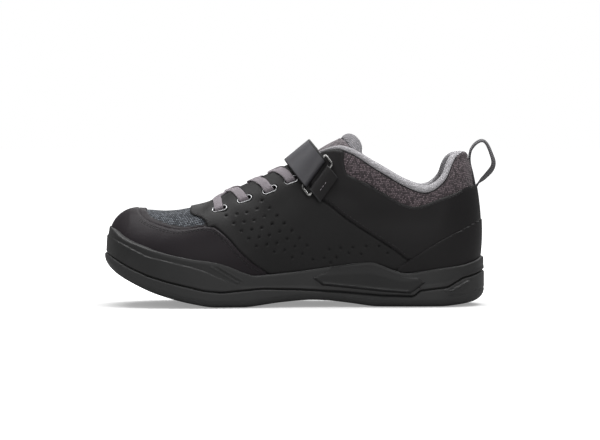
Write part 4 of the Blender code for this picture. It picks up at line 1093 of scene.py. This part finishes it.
def flatSection(wide, thick, shares):  # outline of a flat rounded bar: across, up
    half, edge = wide / 2, thick / 2
    ring = [(half - edge + edge * math.cos(a), edge * math.sin(a)) for a in np.linspace(-np.pi / 2, np.pi / 2, 6)]
    ring += [((half - edge) * share, edge) for share in shares]
    ring += [(-a, -b) for a, b in ring]
    return np.array(ring + ring[:1])


def ribbon(name, path, wideWay, wide, thick):  # path and wideWay are points and side directions
    run = unit(np.gradient(path, axis=0))
    side = unit(wideWay - run * np.sum(wideWay * run, axis=1, keepdims=True))
    section = flatSection(wide, thick, (0.6, 0.2, -0.2, -0.6))
    points = capped(np.array([p + np.outer(section[:, 0], s) + np.outer(section[:, 1], u)
                              for p, s, u in zip(path, side, np.cross(run, side))]))
    lengths = np.pad(lengthsAlong(path), 1, "edge")
    uv = np.stack(np.broadcast_arrays(lengths[:, None], section[:, 0]), -1)
    return gridPiece(name, points, uv=uv, angle=50)


# lace: straight first bar, then crossings that dive into each eyelet from outside

lace = {"wide": 7.0, "thick": 1.2, "clear": 0.3, "lean": 0.52, "slope": 0.46, "back": 5.0, "lift": 1.0, "edge": 1.5,
        "barBack": 5.0, "barLift": 3.2, "over": 0.8, "under": 0.55, "step": 0.8, "lower": {2: 0.0, 3: 0.8, 4: 0.8},
        "cross": (0.4, 0.72, 1.0, 1.25), "hiddenFrom": 0.9}
laceSlope = np.array((1.0, 0.0, lace["slope"]))


def laceReach(slot):  # from inside an eyelet up over the stay's edge
    k, v = np.array([slot["k"]]), np.array([slot["v"]])
    off = stayTop + lace["clear"] + lace["thick"] / 2
    toeWay = -slot["side"] * lace["lean"]
    run = ((0.0, v - 0.006, -3.4), (0.0, v - 0.004, -0.6), (0.1, v + 0.012, off - 0.25),
           (0.5, v + (1 - v) * 0.45, off + 0.1))
    return [*(skin(k + toeWay * share, up, high)[0] for share, up, high in run),
            wallPoint(k + toeWay, 1.0)[0] + upward * lace["edge"]]


def tongueTop(x, y):
    rows = np.array(tongueRows)
    z, half, sag = (np.interp(x, rows[:, 0], rows[:, column]) for column in (1, 2, 3))
    return z - sag * min(abs(y - tongue["middle"]) / half, 1.0) ** 2


def slotOf(side, number):
    return next(slot for slot in slotFrames if slot["side"] == side and slot["name"].endswith(str(number)))


def laceBand(name, points, replaced):
    path = evenPath(curved(points, 10), lace["step"])
    obj = ribbon(name, path, np.broadcast_to(laceSlope, path.shape), lace["wide"], lace["thick"])
    dress(obj, "lace_weave", replaced, "laceWeave")


def makeLaces():
    near, far = laceReach(slotOf(-1, 1)), laceReach(slotOf(1, 1))
    top = (near[-1] + far[-1]) / 2 + np.array((lace["barBack"], 0.0, lace["barLift"]))
    laceBand("lace_first_bar", [*near, top, *far[::-1]], ["lace_bar_1"])
    for number in range(2, len(eyelets) + 1):
        for side, word in sides:
            near, far = laceReach(slotOf(side, number)), laceReach(slotOf(-side, number))[-1]
            over = lace["over"] if (number + (side > 0)) % 2 else -lace["over"] * lace["under"]
            rise = lace["lift"] - lace["slope"] * lace["back"] + over - lace["lower"][number]
            middle = (near[-1] + far) / 2 + np.array((-lace["back"], 0.0, rise))
            middle[2] = max(middle[2], tongueTop(*middle[:2]) + 1.5 + over)
            below = slotOf(-side, number - 1)
            edge = wallPoint(np.array([below["k"] + below["side"] * 0.2]), 1.0)[0]
            cross = []
            for share in lace["cross"]:  # down along the tongue and under the far stay
                place = middle + (edge - middle) * share
                top = tongueTop(*place[:2])
                place[2] = max(top + 0.9, place[2] - 3.0) if share < lace["hiddenFrom"] else top + 0.8
                cross.append(place)
            laceBand(f"lace_cross_{number}_{word}", [*near, middle, *cross],
                     [f"lace_cross_{number}"] if side < 0 else [])


makeLaces()
print("lace ready")


# turn-back strap, its ring and tab, in the strap's own space: along the instep, across it, below its crown

strap = {"crown": (1.75, 122.2), "run": (0.777, 0.629), "wide": 25.8, "thick": 1.6, "slant": 0.26, "twist": 0.22,
         "full": 20.4, "flat": 3.0, "step": 0.8, "roundEnd": 9.0, "roundBy": 0.3}
strapPath = ((35.0, 36.0), (33.2, 30.0), (31.0, 23.6), (29.1, 18.2), (27.0, 13.9), (23.4, 9.3), (19.9, 6.1),
             (15.0, 3.6), (8.0, 2.2), (0.0, 1.9), (-8.0, 2.2), (-15.0, 3.3), (-18.8, 4.6), (-21.8, 6.6),
             (-25.2, 10.2), (-27.6, 14.6), (-28.9, 18.4), (-29.5, 21.3), (-30.7, 22.6), (-32.3, 22.7), (-33.6, 21.5),
             (-33.7, 19.8), (-32.4, 15.2), (-29.6, 10.2), (-26.0, 6.2), (-21.6, 3.2), (-15.6, 1.2), (-8.0, 0.35),
             (0.0, 0.15), (8.0, 0.4), (15.6, 1.5), (20.6, 3.4), (24.4, 6.2))
tabPath = ((-35.3, 39.5), (-34.7, 36.5), (-33.4, 33.0), (-32.4, 30.4), (-32.7, 28.3), (-34.1, 27.2), (-35.8, 27.5),
           (-36.9, 29.4), (-37.0, 33.0), (-36.8, 36.5), (-36.5, 39.5))
ring = {"bars": ((-31.6, 20.6), (-34.7, 29.7)), "wire": 1.05, "ends": (-14.8, 14.9), "corner": 1.5, "arc": 8}
tab = {"sides": (-11.5, 11.6), "thick": 1.2}


def onStrap(along, y, depth):
    share = np.clip(depth / strap["full"], 0, 1)
    turn = np.clip((depth - strap["flat"]) / (strap["full"] - strap["flat"]), 0, 1)
    lowered = depth - strap["slant"] * along * share
    y = y - np.sign(y) * strap["twist"] * along * turn
    (crownX, crownZ), (runX, runZ) = strap["crown"], strap["run"]
    return np.stack((crownX + runX * along + runZ * lowered, y, crownZ + runZ * along - runX * lowered), -1)


def strapBand(name, path, thick, edges, skinName, node, roundEnd=0.0):
    path = evenPath(curved(path, 8), strap["step"])
    run = unit(np.gradient(path, axis=0))
    middle, half = sum(edges) / 2, (edges[1] - edges[0]) / 2
    across, off = flatSection(2 * half, thick, np.linspace(0.94, -0.94, 18)).T
    lengths = lengthsAlong(path)
    points = []
    for place, way, left in zip(path, run, lengths[-1] - lengths):
        narrow = 1.0
        if left < roundEnd:  # the loose end is rounded off
            narrow = 1 - (1 - math.sqrt(max(1 - (1 - left / roundEnd) ** 2, 0))) * strap["roundBy"]
        points.append(onStrap(middle + across * narrow, place[0] + way[1] * off, place[1] - way[0] * off))
    points = capped(np.array(points))
    kinds = np.zeros((len(points) - 1, len(across) - 1), int)
    kinds[:, np.abs(across[:-1]) > half - thick / 2 * 1.02] = 1
    dress(gridPiece(name, points, kinds=kinds, angle=45), "strap_leather", [node], skinName, "strapEdge")


def makeRing():
    (yTop, top), (yLow, low) = ring["bars"]
    length, corner = low - top, ring["corner"]
    near, far = ring["ends"][0] + corner, ring["ends"][1] - corner
    high, deep = corner, length - corner
    path = []
    for turn, (along, depth) in enumerate(((far, high), (far, deep), (near, deep), (near, high))):
        for step in range(ring["arc"]):
            angle = math.pi / 2 * (turn - 1 + step / (ring["arc"] - 1))
            down = depth + corner * math.sin(angle)
            y = yTop + (yLow - yTop) * down / length
            path.append(onStrap(*np.array((along + corner * math.cos(angle), y, top + down))))
    curve = bpy.data.curves.new("strap_wire_ring", "CURVE")
    curve.dimensions, curve.bevel_depth, curve.bevel_resolution = "3D", ring["wire"] * millimetre, 5
    spline = curve.splines.new("POLY")
    spline.points.add(len(path) - 1)
    for point, place in zip(spline.points, inFrame(path)):
        point.co = (*place, 1.0)
    spline.use_cyclic_u = True
    activate(newObject("strap_wire_ring", curve))
    bpy.ops.object.convert(target="MESH")
    obj = bpy.context.object
    smoothShade(obj)
    dress(obj, "ring_metal", ["strap_ring"], "ringMetal")


strapBand("instep_strap", strapPath, strap["thick"], (-strap["wide"] / 2, strap["wide"] / 2), "strapSkin", "strap",
          strap["roundEnd"])
strapBand("strap_ring_tab", tabPath, tab["thick"], tab["sides"], "rearSkin", "ring_tab")
makeRing()
print("strap ready")


# pull loop behind the heel: x and z of its path; twist is share of the path and degrees

loopPath = ((142.5, 93.2), (141.9, 97.0), (140.4, 104.0), (138.5, 111.5), (138.3, 117.5), (139.7, 122.8),
            (143.4, 127.4), (148.0, 129.4), (151.7, 127.0), (155.0, 120.0), (157.2, 112.6), (155.9, 107.2),
            (151.0, 101.4), (146.6, 97.2), (144.2, 94.4), (143.4, 92.6))
pullLoop = {"wide": 9.0, "thick": 1.4, "step": 0.8,
            "twist": ((0.0, 0), (0.15, 0), (0.35, 4), (0.52, 10), (0.66, 17), (0.8, 27), (0.9, 20), (0.97, 0),
                      (1.0, 0))}


def makePullLoop():
    path = np.insert(evenPath(curved(loopPath, 8), pullLoop["step"]), 1, 0.0, axis=1)
    run = unit(np.gradient(path, axis=0))
    turn = np.radians(np.interp(np.linspace(0, 1, len(path)), *zip(*pullLoop["twist"])))[:, None]
    flat = np.array((0.0, 1.0, 0.0))
    across = flat * np.cos(turn) + np.cross(run, flat) * np.sin(turn)
    obj = ribbon("heel_pull_loop", path, across, pullLoop["wide"], pullLoop["thick"])
    dress(obj, "loop_webbing", ["pull_loop"], "loopWeave")


makePullLoop()
print("pull loop ready")


# stitching: one thread bead modelled once and repeated along each seam

stitch = {"long": 2.1, "gap": 0.9, "thick": 0.55, "start": 0.5, "overlap": 1.1, "flat": 0.8}


def beadMesh():
    bpy.ops.mesh.primitive_uv_sphere_add(segments=6, ring_count=5, radius=0.5)
    obj = bpy.context.object
    points = np.array([vertex.co for vertex in obj.data.vertices])
    faces = [list(face.vertices) for face in obj.data.polygons]
    bpy.data.objects.remove(obj, do_unlink=True)
    return points, faces


beadPoints, beadFaces = beadMesh()
beadSize = np.array((stitch["thick"], stitch["thick"] * stitch["flat"], stitch["long"] * stitch["overlap"]))


def stitchRow(name, rows, finishName, slot):  # rows of (points, normals), each a seam line
    points, faces = [], []
    for line, normals in rows:
        lengths = lengthsAlong(line)
        for start in np.arange(stitch["start"], lengths[-1] - stitch["long"], stitch["long"] + stitch["gap"]):
            first, end, out = (np.array([np.interp(place, lengths, column) for column in values.T])
                               for place, values in ((start, line), (start + stitch["long"], line), (start, normals)))
            run = unit(end - first)
            side = unit(np.cross(out, run))
            shape = beadPoints * beadSize @ np.array((side, np.cross(run, side), run))
            faces += [[i + len(points) * len(beadPoints) for i in face] for face in beadFaces]
            points.append((first + end) / 2 + shape)
    points = np.concatenate(points)
    obj = arrayPiece(name, points, faces)
    setUv(obj, points[:, [0, 2]])
    fixNormals(obj)
    dress(obj, slot, [], finishName)


def seamRow(line, side, height):  # a side-view line laid on the skin
    k, v = onSide(*evenPath(line, 1.0).T, side, height)
    return skin(k, v, height), wallNormal(k, v)


# seams: panel, height over it, then lines with their shift
capTop = np.concatenate((capLine[8:], capSide[1:-8]))
seams = {"cap_stitches": ("toe_cap_panel", 0.05, ((capTop, -1.4, -1.9), (capTop, -2.1, -3.0))),
         "rear_stitches": ("rear_quarter_panel", 0.02, ((rearLine[8:], 1.6, 1.8), (collarLine[8:-10], 0.0, -2.2))),
         "stay_stitches": ("quarter_panel", 0.02, ((stayLine[8:], 2.2, 0.8),))}
for seamName, (panelName, over, lines) in seams.items():
    seamHeight = panelLift + panels[panelName]["thick"] + over
    stitchRow(seamName, [seamRow(shifted(*line), side, seamHeight) for side, _ in sides for line in lines],
              "threadDark", "overlay_leather")

# one light row across the tab, beside the ring
tabRow = {"along": np.linspace(-6.0, 3.0, 20), "y": -37.62, "depth": 34.0, "out": np.array((-0.2, -0.97, 0.1))}
tabLine = onStrap(tabRow["along"], np.full(20, tabRow["y"]), np.full(20, tabRow["depth"]))
stitchRow("tab_stitches", [(tabLine, np.broadcast_to(tabRow["out"], tabLine.shape))], "laceWeave", "strap_leather")
print("stitches ready")


# studio: pale floor, soft light from above, long lens from the inner side

stageSpec = {"floorHalf": 6.0, "floorDrop": 0.0003, "floorColour": 0.8, "floorBounce": 0.42, "paintedShadowLight": 0.3,
             "sky": 0.24, "whiteFrom": 0.12, "whiteTo": 0.36, "whiteShape": (0.62, 1.5, 1.0)}
# lamps: place, aim, size, power
lamps = {"key_above": ((0.0, 0.02, 1.2), (0.0, 0.02, 0.03), (1.5, 0.8), 18.5),
         "fill_front": ((0.15, -1.75, 0.7), (0.0, 0.0, 0.06), (1.2, 0.9), 5.5),
         "edge_behind": ((0.3, 1.0, 0.9), (0.0, 0.0, 0.06), (1.6, 0.6), 5.0)}


def pointAt(obj, place, aim):
    obj.location = place
    obj.rotation_euler = (Vector(aim) - Vector(place)).to_track_quat("-Z", "Y").to_euler()


def makeFloor():
    bpy.ops.mesh.primitive_plane_add(size=2 * stageSpec["floorHalf"], location=(0, 0, -stageSpec["floorDrop"]))
    floor = bpy.context.object
    floor.name = "studio_floor"
    made, tree, shader = newFinish("floorPaper", 0.9, 0.1)
    seen = add(tree, "ShaderNodeLightPath")["Is Camera Ray"]
    # the paper is pale for the camera and darker for every other ray, so less light bounces up onto the shoe
    paper = blend(tree, seen, (stageSpec["floorBounce"],) * 3, (stageSpec["floorColour"],) * 3, 0.0, 1.0)
    place = add(tree, "ShaderNodeTexCoord")["Object"]  # painted light: for the camera the paper glows, faintly under the shoe so its shadow is painted lighter, then out to plain white
    shape = add(tree, "ShaderNodeVectorMath", {0: place, 1: stageSpec["whiteShape"]}, operation="MULTIPLY")[0]
    away = add(tree, "ShaderNodeVectorMath", {0: shape}, operation="LENGTH")["Value"]
    glow = add(tree, "ShaderNodeMapRange", {"From Min": stageSpec["whiteFrom"], "From Max": stageSpec["whiteTo"],
                                            "To Min": stageSpec["paintedShadowLight"], "Value": away})[0]
    plug(tree, shader, {"Base Color": paper, "Emission Color": mathsIn(tree)("MULTIPLY", glow, seen),
                        "Emission Strength": 1.0})
    floor.data.materials.append(made)


def makeLight():
    for name, (place, aim, size, power) in lamps.items():
        data = bpy.data.lights.new(name, "AREA")
        data.shape, data.size, data.size_y, data.energy = "RECTANGLE", *size, power
        pointAt(newObject(name, data), place, aim)
    world = bpy.context.scene.world = bpy.data.worlds.new("studioSky")
    world.use_nodes = True
    tree = world.node_tree
    seen = add(tree, "ShaderNodeLightPath")["Is Camera Ray"]
    level = add(tree, "ShaderNodeMapRange", {"To Min": stageSpec["sky"], "To Max": 1.0, "Value": seen})[0]
    plug(tree, tree.nodes["Background"], {"Strength": level, "Color": (1.0, 1.0, 1.0, 1.0)})
    bpy.context.scene.view_settings.view_transform = "Standard"


view = {"distance": 2.4, "rise": 2.5, "aim": (-0.0002, 0.0, 0.0664), "acrossMm": 475.6, "sensor": 36.0}


def makeCamera():
    data = bpy.data.cameras.new("photo_camera")
    data.sensor_width = view["sensor"]
    data.lens = view["sensor"] * view["distance"] / (view["acrossMm"] * millimetre)
    data.clip_start, data.clip_end = 0.05, 30.0
    obj = newObject("photo_camera", data)
    rise = math.radians(view["rise"])
    x, y, z = view["aim"]
    pointAt(obj, (x, y - view["distance"] * math.cos(rise), z + view["distance"] * math.sin(rise)), view["aim"])
    bpy.context.scene.camera = obj


makeFloor()
makeLight()
makeCamera()
print("studio ready")
